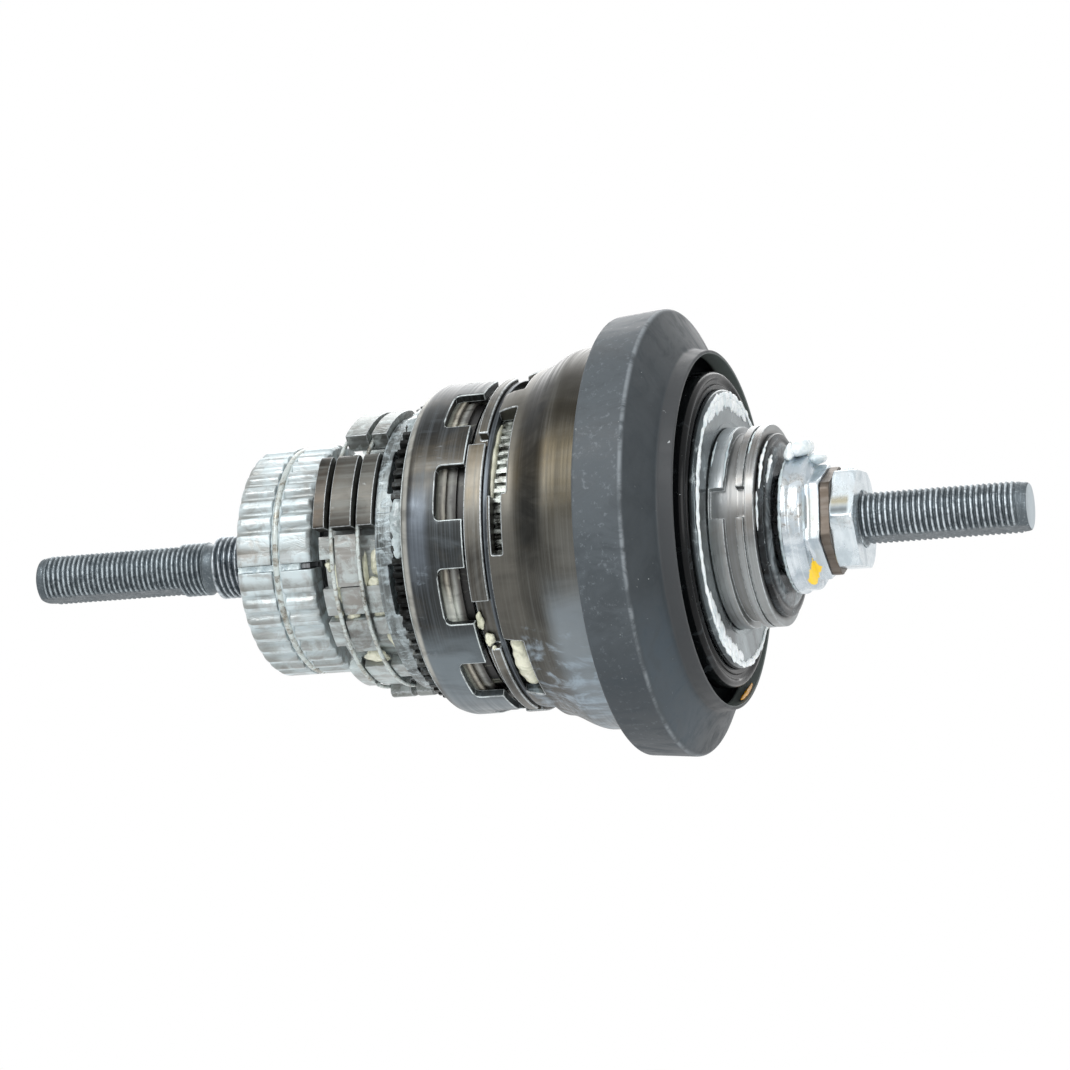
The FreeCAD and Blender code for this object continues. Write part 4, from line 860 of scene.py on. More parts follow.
@dataclass(frozen=True)
class Thread(Finish):
    """Rolled thread: bright worn crests, dark oily roots, and light flecks of wear.

    Attributes:
        crest, root: Its tones, by their screen values.
        reach: Radii of the roots and of the crests.
        roughness: The surface's own.
    """

    crest: Screen
    root: Screen
    reach: Span
    roughness: float = 0.3

    def write(self, shader: Shader) -> None:
        """Write the nodes: the tone follows the radius, broken by wear and flecks.

        Args:
            shader: The new material's nodes.
        """
        height = shader.math("POWER", shader.climb(shader.radius, *self.reach), 2.2)
        wear = shader.noise((500.0, 700.0, 700.0), 5.0, 0.7, 1.0)
        flecks = shader.noise(2600.0, 3.0, 0.65, 1.5)
        cloud = shader.noise(120.0, 3.0, 0.5)
        lightened = shader.times(height, shader.span(wear, 0.36, 0.6, 0.12, 1.0))
        tone = shader.mix(lightened, self.root, self.crest)
        tone = shader.spots(tone, self.crest, flecks, 0.56, 0.7, 0.75)
        tone = shader.mix(shader.span(flecks, 0.3, 0.42, 0.75, 0.0), tone, self.root)
        tone = shader.spots(tone, self.root, cloud, 0.45, 0.7, 0.3)
        rough = shader.span(wear, 0.3, 0.7, self.roughness - 0.06, self.roughness + 0.16)
        shader.set(Base_Color=tone, Metallic=0.9, Roughness=rough,
                   Normal=shader.relief(flecks, 0.2, 0.03))


@dataclass(frozen=True)
class Plastic(Finish):
    """Satin moulded plastic: faint mottle, pale specks, and light smears of old grease.

    Attributes:
        base, pale, lip: Its tones, by their screen values; the last is the lip's.
        ridge: Station of the edge between the band and the face, which takes a painted highlight.
        lip_left: Station where the lip starts.
        inner: Radius below which the inner wall takes a pale painted reflection.
        roughness: The surface's own.
        zones: Zones over it.
    """

    base: Screen
    pale: Screen
    lip: Screen
    ridge: float = 31.1
    lip_left: float = 35.2
    inner: float = 30.4
    roughness: float = 0.5
    zones: tuple[Zone, ...] = ()

    def write(self, shader: Shader) -> None:
        """Write the nodes: band, ridge with a painted highlight, face, lip and inner wall with a
        painted reflection, each with its marks.

        Args:
            shader: The new material's nodes.
        """
        mottle = shader.noise(160.0, 5.0, 0.6, 0.5)
        specks = shader.noise(1500.0, 2.0, 0.5, 0.6)
        smears = shader.noise((70.0, 150.0, 150.0), 6.0, 0.68, 1.6)
        fine = shader.noise(900.0, 6.0, 0.7)
        band = shader.climb(shader.x, self.ridge - 0.2, self.ridge + 0.3, 1.0, 0.0)
        # Painted highlight along the ridge between the band and the face.
        lightened = shader.band(shader.x, self.ridge - 0.25, self.ridge + 0.3, 0.22)
        lip = shader.climb(shader.x, self.lip_left - 0.1, self.lip_left + 0.2)
        # The inner wall below the inner radius takes a pale painted reflection.
        inner = shader.climb(shader.radius, self.inner - 0.1, self.inner + 0.1, 1.0, 0.0)
        tone = shader.spots(self.base, self.pale, mottle, 0.35, 0.7, 0.16)
        for share, colour in (
                (shader.times(band, shader.span(smears, 0.3, 0.66, 0.3, 0.8)), self.pale),
                (shader.times(band, shader.span(fine, 0.55, 0.7, 0.0, 0.5)), (120, 128, 134)),
                (shader.span(smears, 0.62, 0.8, 0.0, 0.45), self.pale),
                (shader.times(lip, 0.8), self.lip),
                (inner, (112, 120, 118)),
                (shader.times(lightened, shader.span(smears, 0.4, 0.62, 0.1, 0.75)), (132, 139, 144)),
                (shader.span(specks, 0.75, 0.8, 0.0, 0.7), (190, 196, 198))):
            tone = shader.mix(share, tone, colour)
        tone = lay_zones(self.zones, shader, tone, smears)
        rough = shader.span(smears, 0.4, 0.75, self.roughness - 0.06, self.roughness + 0.15)
        shader.set(Base_Color=tone, Roughness=rough, Specular_IOR_Level=0.3,
                   Normal=shader.relief(shader.noise(3800.0, 2.0, 0.5), 0.18, 0.03))


@dataclass(frozen=True)
class Rubber(Finish):
    """Glossy black rubber with a film of oil and small pale marks, which also serve as painted
    glints.

    Attributes:
        base: Its tone, by its screen values.
        wet: Share of the film of oil.
        marked: Height of the noise above which there is a pale mark.
        milky: Radii between which the film is thick and pale.
    """

    base: Screen = (10, 12, 14)
    wet: float = 0.25
    marked: float = 0.71
    milky: Span | None = None

    def write(self, shader: Shader) -> None:
        """Write the nodes.

        Args:
            shader: The new material's nodes.
        """
        film = shader.noise(220.0, 4.0, 0.6, 1.0)
        marks = shader.noise(900.0, 3.0, 0.6, 1.0)
        tone = shader.spots(self.base, (112, 122, 128), film, 0.8 - self.wet, 0.8, self.wet)
        if self.milky is not None:
            ring = shader.band(shader.radius, *self.milky, 0.3)
            share = shader.times(ring, shader.span(film, 0.36, 0.62, 0.25, 0.85))
            tone = shader.mix(share, tone, (134, 142, 146))
        # Pale marks, which also serve as painted glints on the wet rubber.
        tone = shader.spots(tone, (196, 203, 206), marks, self.marked, self.marked + 0.06, 0.8)
        shader.set(Base_Color=tone, Roughness=shader.span(film, 0.3, 0.7, 0.14, 0.3),
                   Normal=shader.relief(film, 0.12, 0.1), Specular_IOR_Level=0.18)


@dataclass(frozen=True)
class Zinc(Finish):
    """Bright zinc plating with a bluish cast, faint rust, and a dab of paint if asked for.

    Attributes:
        base, shade: Its tones, by their screen values.
        roughness, metallic: The surface's own.
        rusted: Share of the rust.
        rust_turns: Turns where the rust lies.
        dab: Middle and half size of a dab of paint, along x and then in turn.
        dab_colour: The paint's colour.
        zones: Zones over the plating.
    """

    base: Screen = (212, 220, 225)
    shade: Screen = (150, 164, 174)
    roughness: float = 0.24
    metallic: float = 0.85
    rusted: float = 1.0
    rust_turns: Span = (45.0, 98.0)
    dab: tuple[Span, Span] | None = None
    dab_colour: Screen = (246, 205, 30)
    zones: tuple[Zone, ...] = ()

    @staticmethod
    def dabbed(shader: Shader, dab: tuple[Span, Span]) -> Socket:
        """Where the paint lies: a diamond |x| + |turn| < 1 about its middle, with a ragged edge.

        Args:
            shader: The material's nodes.
            dab: Middle and half size, along x and then in turn.

        Returns:
            The mask.
        """
        (x, x_half), (turn, turn_half) = dab
        ragged = shader.math("SUBTRACT", shader.noise(900.0, 4.0, 0.65), 0.5)
        across = shader.math("DIVIDE", shader.math("SUBTRACT", shader.x, x * MM), x_half * MM)
        along = shader.math("DIVIDE", shader.math("SUBTRACT", shader.turn, turn), turn_half)
        reach = shader.math("ADD", shader.math("ABSOLUTE", across), shader.math("ABSOLUTE", along))
        reach = shader.math("ADD", reach, shader.times(ragged, 1.3))
        return shader.span(reach, 0.95, 1.08, 1.0, 0.0)

    def write(self, shader: Shader) -> None:
        """Write the nodes.

        Args:
            shader: The new material's nodes.
        """
        lines = shader.noise(Grain.TURNED.value, 3.0, 0.6)
        cloud = shader.noise(150.0, 5.0, 0.6, 1.2)
        pits = shader.noise(1700.0, 3.0, 0.6, 0.8)
        patch = shader.noise(260.0, 4.0, 0.6, 0.8)
        rust = shader.times(shader.within(shader.turn, *self.rust_turns, 6.0),
                            shader.span(patch, 0.42, 0.6, 0.0, 0.8 * self.rusted))
        tone = shader.spots(self.base, self.shade, cloud, 0.35, 0.68, 0.75)
        tone = shader.spots(tone, (250, 252, 252), lines, 0.5, 0.75, 0.3)
        tone = shader.mix(shader.times(rust, 0.45), tone, (176, 166, 148))
        tone = shader.mix(shader.times(rust, shader.span(pits, 0.5, 0.62)), tone, (112, 104, 96))
        tone = shader.spots(tone, (128, 134, 138), pits, 0.64, 0.74, 0.45)
        tone = lay_zones(self.zones, shader, tone, cloud)
        metal: Value = self.metallic
        if self.dab is not None:
            mask = self.dabbed(shader, self.dab)
            tone = shader.mix(mask, tone, self.dab_colour)
            metal = shader.times(shader.math("SUBTRACT", 1.0, mask), self.metallic)
        rough = shader.span(cloud, 0.3, 0.7, self.roughness - 0.08, self.roughness + 0.12)
        shader.set(Base_Color=tone, Metallic=metal, Roughness=rough,
                   Normal=shader.relief(pits, 0.15, 0.03))


@dataclass(frozen=True)
class Grease(Finish):
    """Wet grease, milky to cream, with soft light inside it.

    Attributes:
        base, deep: Its tones, by their screen values.
        glow: Share of the light inside it.
    """

    base: Screen
    deep: Screen
    glow: float = 0.25

    def write(self, shader: Shader) -> None:
        """Write the nodes.

        Args:
            shader: The new material's nodes.
        """
        cloud = shader.noise(420.0, 4.0, 0.6, 0.8)
        ripples = shader.noise(1300.0, 3.0, 0.55, 1.2)
        tone = shader.mix(shader.span(cloud, 0.35, 0.7), self.base, self.deep)
        shader.set(Base_Color=tone, Roughness=0.22, Normal=shader.relief(ripples, 0.5, 0.15),
                   Subsurface_Weight=self.glow, Subsurface_Radius=(0.6, 0.6, 0.5),
                   Subsurface_Scale=0.0008, Coat_Weight=0.3)


@dataclass(frozen=True)
class Liner(Finish):
    """The stepped liner behind the windows: bands of oily steel, a painted reflection, old gold
    grease and painted shadow.

    Attributes:
        stops: Station and colour of each stop of a colour ramp along the axle.
        zones: Zones over the bands.
    """

    stops: tuple[tuple[float, Screen], ...]
    zones: tuple[Zone, ...] = ()

    def write(self, shader: Shader) -> None:
        """Write the nodes: a colour ramp along the axle, under blotches and fine lines.

        Args:
            shader: The new material's nodes.
        """
        first, last = self.stops[0][0], self.stops[-1][0]
        wander = shader.times(shader.math("SUBTRACT", shader.noise(240.0, 3.0), 0.5), 0.7 * MM)
        along = shader.node("ShaderNodeMapRange", {0: shader.math("ADD", shader.x, wander),
                                                   1: first * MM, 2: last * MM}).outputs[0]
        ramp = shader.node("ShaderNodeValToRGB", {0: along})
        elements = ramp.color_ramp.elements
        while len(elements) < len(self.stops):
            elements.new(1.0)
        for element, (station, colour) in zip(elements, self.stops):
            element.position = (station - first) / (last - first)
            element.color = linear(*colour)
        blotch = shader.noise((120.0, 330.0, 330.0), 5.0, 0.6, 1.0)
        tone = shader.spots(ramp.outputs[0], (190, 192, 176), blotch, 0.54, 0.68, 0.4)
        tone = shader.mix(shader.span(blotch, 0.3, 0.5, 0.75, 0.0), tone, (26, 24, 22))
        tone = lay_zones(self.zones, shader, tone, blotch)
        fine = shader.noise(Grain.TURNED.value, 3.0, 0.6)
        shader.set(Base_Color=tone, Metallic=0.15, Roughness=0.42,
                   Normal=shader.relief(fine, 0.2, 0.03))


THREAD = Thread("rolled_thread", (180, 190, 195), (88, 96, 101), (4.2, 4.76), 0.42)
RIGHT_THREAD = Thread("worn_rolled_thread", (204, 213, 218), (94, 102, 107), (4.2, 4.76), 0.4)
WIDE_THREAD = Thread("wide_rolled_thread", (204, 212, 218), (76, 84, 90), (5.05, 5.6), 0.36)
# SHOE's stain_and_painted_light colour serves only as painted shade on the ribs' lower flanks.
SHOE = Steel("greased_shoe_steel", (178, 184, 185), (146, 149, 147), (208, 217, 219),
             Grain.DRAWN, 0.5, 0.36, stain_and_painted_light=(112, 111, 105), film=0.56,
             film_colour=(196, 210, 214), cloud=120.0, metallic=0.6, ribs=(102.5, 9.2),
             crisp=(-43.0, -39.0),
             zones=(Zone((-45.2, -38.4), (76.0, 90.0), (168, 164, 158), 0.7),))
END_FACE = Steel("sawn_end_steel", (176, 187, 193), (146, 156, 162), (206, 214, 218),
                 Grain.GROUND, 0.3, 0.42, metallic=0.7)
ANCHOR = Steel("satin_anchor_steel", (150, 153, 155), (110, 112, 114), (190, 194, 196))
WIRE = Steel("drawn_wire", (104, 98, 90), (54, 50, 46), (178, 178, 172),
             Grain.GROUND, 0.5, 0.3, film=0.3)
GREASED_WIRE = Steel("greased_wire", (160, 158, 146), (106, 100, 90), (206, 210, 206),
                     Grain.GROUND, 0.4, 0.32, film=0.62, film_colour=(198, 209, 208), cloud=170.0,
                     metallic=0.6)
CLIP = Steel("blued_clip_steel", (66, 70, 74), (34, 36, 38), (120, 128, 134))
PAWL = Steel("hard_pawl_steel", (78, 77, 73), (44, 42, 39), (116, 119, 116),
             Grain.DRAWN, 0.45, 0.4, stain_and_painted_light=(80, 72, 64), stained=0.45, film=0.12)
MILKY_PAWL = Steel("milky_pawl_steel", (142, 146, 144), (98, 98, 94), (180, 187, 187),
                   Grain.DRAWN, 0.45, 0.38, film=0.42, film_colour=(186, 197, 197), cloud=170.0,
                   metallic=0.7)
EDGE = Steel("worn_edge_steel", (172, 178, 180), (120, 124, 124), (222, 228, 230),
             Grain.GROUND, 0.4, 0.3, metallic=0.55)
MILKY_EDGE = Steel("milky_edge_steel", (190, 199, 200), (120, 124, 124), (222, 230, 232),
                   Grain.GROUND, 0.4, 0.34, film=0.5, film_colour=(214, 224, 226), metallic=0.3)
CARRIER = Steel("milled_carrier_steel", (166, 171, 170), (132, 133, 130), (200, 207, 207),
                Grain.DRAWN, 0.5, 0.36, film=0.5, film_colour=(184, 197, 198), cloud=150.0,
                metallic=0.7,
                zones=(Zone((-25.1, -21.2), (80.0, 146.0), (146, 142, 137), 0.6),
                       Zone((-28.2, -17.3), (112.0, 150.0), (120, 122, 120), 0.35)),
                bare=(Zone((-25.3, -21.0), (122.0, 131.0), (84, 84, 82), 0.9, 0.2),
                      Zone((-25.1, -21.2), (84.0, 98.0), (140, 135, 129), 0.55),
                      Zone((-25.1, -21.2), (106.0, 114.0), (140, 135, 129), 0.55)))
PLATE = Steel("milky_plate_steel", (126, 132, 132), (74, 78, 78), (176, 186, 190),
              Grain.TURNED, 0.4, 0.34, film=0.46, film_colour=(176, 190, 195), cloud=190.0)
# Its two near-black zones are painted shadow, where the ring shows through the carrier plate's
# slots.
RATCHET = Steel("oily_ratchet_steel", (64, 66, 64), (24, 24, 23), (116, 123, 126),
                Grain.GROUND, 0.4, 0.36, film=0.12, film_colour=(176, 190, 196), cloud=160.0,
                zones=(Zone((-14.2, -10.9), (36.0, 66.0), (10, 10, 10), 0.9),
                       Zone((-14.2, -10.9), (92.0, 118.0), (10, 10, 10), 0.9)))
GEAR = Steel("case_hardened_gear", (128, 126, 118), (60, 58, 54), (182, 180, 172),
             Grain.GROUND, 0.4, 0.3, film=0.3, film_colour=(196, 206, 200))
# Its black zone is painted shadow, where the ring shows through the cup's middle openings.
SPLINE = Steel("greased_spline_steel", (150, 154, 148), (70, 70, 66), (206, 210, 202),
               Grain.GROUND, 0.4, 0.3, film=0.5, film_colour=(212, 220, 214), cloud=150.0,
               zones=(Zone((4.6, 8.8), (77.0, 96.0), (8, 8, 8), 1.0),))
# The light grey-green stop at -4.4 is a painted reflection, and the near-black stops from -1.2 on
# are painted shadow inside the drum.
LINER = Liner("banded_liner_steel", (
    (-5.4, (84, 86, 80)), (-4.4, (126, 128, 118)), (-4.0, (72, 66, 56)),
    (-3.5, (176, 172, 158)), (-3.1, (84, 80, 72)), (-2.3, (142, 144, 140)),
    (-1.8, (74, 72, 68)), (-1.2, (16, 15, 15)), (0.6, (6, 6, 6))),
    (Zone((-5.4, 0.6), (50.0, 80.0), (34, 36, 33), 0.7),
     Zone((-4.6, -2.5), (108.0, 118.0), (226, 232, 224), 0.95, 0.25)))
PIN = Steel("ground_pin_steel", (168, 168, 170), (120, 120, 122), (214, 214, 216))
DRUM = Steel("gunmetal_drum", (63, 66, 67), (44, 45, 45), (106, 114, 120),
             Grain.TURNED, 0.3, 0.36, stain_and_painted_light=(98, 90, 76), stained=0.25, film=0.14,
             film_colour=(158, 172, 184), cloud=110.0, warm_highlight=(50.0, 66.0), warm_highlight_share=0.35,
             zones=(Zone((-11.8, -9.7), (-20.0, 140.0), (180, 180, 173), 0.85, 0.3),
                    Zone((-9.6, -6.2), (72.0, 98.0), (132, 142, 154), 0.4, 1.0),
                    Zone((-9.8, 0.6), (122.0, 176.0), (124, 134, 140), 0.75)))
CLAW = Steel("claw_ring_steel", (104, 102, 96), (62, 60, 56), (140, 143, 142),
             Grain.TURNED, 0.32, 0.38, stain_and_painted_light=(104, 94, 76), stained=0.35, film=0.1,
             film_colour=(176, 190, 198), warm_highlight=(45.0, 75.0), warm_highlight_share=0.4)
# Its zone from 11.0 to 15.4 is a painted dark reflection along the shoulder's hollow, on its upper
# and front side.
CUP = Steel("turned_cup_steel", (80, 79, 74), (54, 53, 50), (106, 107, 104),
            Grain.TURNED, 0.45, 0.38, stain_and_painted_light=(104, 92, 68), stained=0.25, film=0.06,
            film_colour=(158, 176, 190), cloud=75.0, soaked=(116.0, 176.0), warm_highlight=(54.0, 74.0),
            warm_highlight_share=0.4,
            zones=(Zone((4.0, 10.0), (-30.0, 120.0), (106, 104, 98), 0.7, 0.8),
                   Zone((11.0, 15.4), (-30.0, 94.0), (24, 25, 24), 0.85, 1.3),
                   Zone((16.5, 27.5), (-30.0, 84.0), (58, 54, 44), 0.76, 1.5),
                   Zone((16.5, 27.5), (-30.0, 54.0), (36, 34, 30), 0.6, 1.5),
                   Zone((18.0, 27.5), (86.0, 106.0), (128, 128, 124), 0.4, 1.5),
                   Zone((15.0, 27.0), (104.0, 176.0), (142, 152, 159), 0.66, 2.0)))
# Its first zone is painted shade on the lower side of the band, and its second is painted light
# that makes the lower side of the face lighter.
CAP = Plastic("satin_charcoal_plastic", (47, 53, 57), (80, 87, 92), (60, 62, 64),
              zones=(Zone((22.4, 31.0), (118.0, 172.0), (34, 43, 50), 0.6, 0.4, 14.0),
                     Zone((31.5, 35.0), (112.0, 168.0), (64, 76, 85), 0.6, 0.4, 12.0)))
SEAL = Rubber("oiled_black_rubber")
NOSE_SEAL = Rubber("greasy_black_rubber", (13, 15, 17), 0.42, 0.66, (11.6, 13.9))
FRONT = Steel("dull_front_plate", (142, 152, 155), (62, 68, 71), (186, 196, 200),
              Grain.TURNED, 0.3, 0.24, film=0.24, film_colour=(206, 217, 220),
              valley=(24.0, 23.2), zones=(Zone((38.0, 40.2), (-60.0, 40.0), (112, 119, 122), 0.8),))
NOSE = Steel("turned_nose_steel", (146, 149, 149), (112, 112, 111), (182, 187, 190),
             Grain.TURNED, 0.5, 0.34, stain_and_painted_light=(122, 112, 102), stained=0.35, valley=(15.9, 16.6),
             zones=(Zone((39.8, 42.5), (-20.0, 84.0), (194, 201, 205), 0.8, 0.9),))
BALL = Steel("polished_ball_steel", (200, 202, 206), (170, 172, 176), (235, 236, 240),
             Grain.GROUND, 0.2, 0.12)
CAGE = Steel("pressed_cage_steel", (150, 144, 128), (104, 100, 88), (190, 186, 172))
# Its two zones on the nut's front flats are painted reflections: a golden one from turn 60 to 71
# and a dark one from turn 73 to 82.
ZINC = Zinc("bright_zinc", (214, 223, 228), (168, 181, 188), rusted=0.3,
            zones=(Zone((58.7, 61.7), (60.0, 71.0), (148, 138, 106), 0.8, 0.3, 4.5),
                   Zone((58.7, 61.7), (73.0, 82.0), (86, 92, 94), 0.85, 0.3, 4.5)))
CONE_ZINC = Zinc("bright_zinc_with_paint", dab=((54.5, 1.15), (148.0, 14.0)),
                 zones=(Zone((54.6, 56.7), (60.0, 104.0), (176, 177, 170), 0.6, 0.3, 5.0),))
WASHER = Steel("brown_washer_steel", (106, 98, 90), (72, 65, 58), (140, 134, 128),
               Grain.DRAWN, 0.45, 0.4, stain_and_painted_light=(84, 72, 62), stained=0.5)
WHITE_GREASE = Grease("white_grease", (240, 246, 247), (205, 218, 222))
MILKY_GREASE = Grease("milky_grease", (206, 218, 220), (160, 176, 182))
CREAM_GREASE = Grease("cream_grease", (232, 232, 212), (186, 188, 166))
GREY_GREASE = Grease("grey_grease", (184, 197, 200), (118, 128, 130))
PAINT = Grease("yellow_paint", (206, 146, 8), (150, 102, 4), 0.0)


def dress(piece: Piece, *finishes: Finish) -> Piece:
    """Give a piece its materials, in the order of its slots.

    Args:
        piece: The piece.
        finishes: One finish for each slot.

    Returns:
        The same piece.
    """
    for finish in finishes:
        piece.data.materials.append(finish.material())
    return piece


def seat(piece: Piece, body: str, slot: str, *stands_for: str) -> Piece:
    """Make a piece ride on a body, and let it stand for solids.

    Args:
        piece: The piece.
        body: The body that carries it.
        slot: The record's material slot; not used.
        stands_for: The solids that it replaces.

    Returns:
        The same piece.
    """
    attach(piece, body)
    if stands_for:
        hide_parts(*stands_for)
    log.info("%s rides on %s", piece.name, body)
    return piece


def grease(finish: Finish, body: str, slot: str, *deposits: Bead | Lump) -> None:
    """Make deposits of grease and seat them on a body.

    Args:
        finish: Their finish.
        body: The body that carries them.
        slot: The record's material slot of what they lie on.
        deposits: The beads and lumps.
    """
    for deposit in deposits:
        seat(dress(deposit.make(), finish), body, slot)


def numbered(kind: type[Bead] | type[Lump], name: str, seed: int,
             rows: Sequence[tuple]) -> list[Bead | Lump]:
    """Deposits of one kind: name_1 with seed + 1, and so on."""
    return [kind(f"{name}_{number}", seed + number, *row)
            for number, row in enumerate(rows, start=1)]


def repaint(finish: Finish, *nodes: str) -> None:
    """Give solids that show as they are their material.

    Args:
        finish: Their finish.
        nodes: The solids.
    """
    for name in nodes:
        for material_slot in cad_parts[name].material_slots:
            material_slot.material = finish.material()
        log.info("%s keeps its solid", name)


# Sub-assemblies


@dataclass
class Axle:
    """The threaded axle with its flats, neck and wide thread."""

    half_length: float = 91.0
    thread_depth: float = 0.58
    pitch: float = 0.97692
    wide_depth: float = 0.56
    wide_pitch: float = 1.06
    flat_half: float = 3.8
    flat_length: float = 28.0
    flat_phi: float = 164.0
    segments: int = 112
    rows_per_turn: int = 9
    slot_floor: float = 4.05
    slot_turns: Span = (243.0, 321.0)
    slots: tuple[Span, ...] = ((-9.45, -5.55), (8.85, 12.75))
    left_thread_end: float = -58.2
    wide_thread: Span = (-55.6, -44.6)
    right_thread_start: float = 61.9
    nick: float = 0.02  # a step in the outline is this long
    outline: tuple[Span, ...] = (
        (-91.0, 4.7625), (-58.2, 4.7625), (-58.18, 4.6), (-57.6, 4.35), (-56.4, 4.35),
        (-55.62, 4.7), (-55.6, 5.6), (-44.62, 5.6), (-44.6, 5.9), (-37.95, 5.9), (-37.93, 6.5),
        (14.5, 6.5), (14.52, 5.45), (41.4, 5.45), (41.42, 4.74), (91.0, 4.7625))

    @staticmethod
    def ridge(x: Array, phi: Array, pitch: float) -> Array:
        """Height of a thread: a flattened triangle wave of x / pitch - turn.

        Args:
            x, phi: Stations and turns.
            pitch: The thread's pitch.

        Returns:
            The height, from 0 at its root to 1 at its crest.
        """
        share = (x / pitch - phi / FULL_TURN) % 1.0
        return np.clip((1.0 - np.abs(2.0 * share - 1.0) - 0.1) / 0.72, 0.0, 1.0)

    def stations(self) -> Array:
        """Stations along the axle: close ones on the threads, and a pair at each step.

        Returns:
            The rising stations.
        """
        nick, end, (wide_left, wide_right) = self.nick, self.left_thread_end, self.wide_thread
        step, wide_step = self.pitch / self.rows_per_turn, self.wide_pitch / self.rows_per_turn
        coarse = [wide_right, wide_right + nick, -37.95, -37.93, -9.47, -9.45, -5.55, -5.53, 8.83,
                  8.85, 12.75, 12.77, 14.5, 14.52, 41.4, 41.42, 61.4]
        return np.concatenate([
            marks_between((-self.half_length, end), step),
            marks_between((end + nick, wide_left - nick), 0.4),
            marks_between((wide_left, wide_right - nick), wide_step), coarse,
            marks_between((61.6, self.half_length), step)])

    def radius(self, x: Array, turns: Array) -> Array:
        """The least of the turned outline, the threads, the end bevels, the flats and the slots.

        Args:
            x, turns: Stations and turns.

        Returns:
            The radius at each.
        """
        r = np.interp(x, *np.transpose(self.outline))
        threaded = (x < self.left_thread_end) | (x > self.right_thread_start)
        r = r - np.where(threaded, self.thread_depth * (1 - self.ridge(x, turns, self.pitch)), 0.0)
        wide = (x > self.wide_thread[0] + 0.3) & (x < self.wide_thread[1])
        r = r - np.where(wide, self.wide_depth * (1 - self.ridge(x, turns, self.wide_pitch)), 0.0)
        end = self.half_length - np.abs(x)
        bevel = np.interp(end, [0.0, 0.12, 0.45, 1.9, 2.6], [3.84, 4.02, 4.16, 4.42, 9.9])
        across = np.maximum(np.abs(np.cos(np.radians(turns - self.flat_phi))), 1e-3)
        flat = np.where(end < self.flat_length, self.flat_half / across, FAR)
        r = np.minimum(np.minimum(r, bevel), flat)
        in_slot = (turns > self.slot_turns[0]) & (turns < self.slot_turns[1])
        for low, high in self.slots:
            r = np.where((x >= low) & (x <= high) & in_slot, self.slot_floor, r)
        return r

    def build(self) -> None:
        """Build the axle, and give each stretch of it its own finish."""
        stations = self.stations()
        phi = np.arange(self.segments) * FULL_TURN / self.segments
        r = self.radius(*np.meshgrid(stations, phi, indexing="ij"))
        poles = np.array([[-self.half_length, 0.0, 0.0], [self.half_length, 0.0, 0.0]])
        points = np.concatenate([place(stations[:, None], r, phi), poles])
        piece = make_piece("threaded_axle", points, tube_faces(len(stations), self.segments))
        dress(piece, THREAD, WIDE_THREAD, ANCHOR, RIGHT_THREAD, END_FACE)
        faces = piece.data.polygons
        middle = np.zeros(len(faces) * 3)
        faces.foreach_get("center", middle)
        middle = middle.reshape(-1, 3)[:, 0] / MM
        wide_left, wide_right = self.wide_thread
        at_end = np.abs(middle) >= self.half_length - 0.001
        kinds = np.select([at_end, (middle > wide_left) & (middle < wide_right),
                           np.abs(middle) < -wide_right, middle > 0.0], [4, 1, 2, 3], 0)
        faces.foreach_set("material_index", kinds.astype(np.int32))
        faces.foreach_set("use_smooth", ~at_end)
        seat(piece, "axle_group", "thread_steel", "axle")


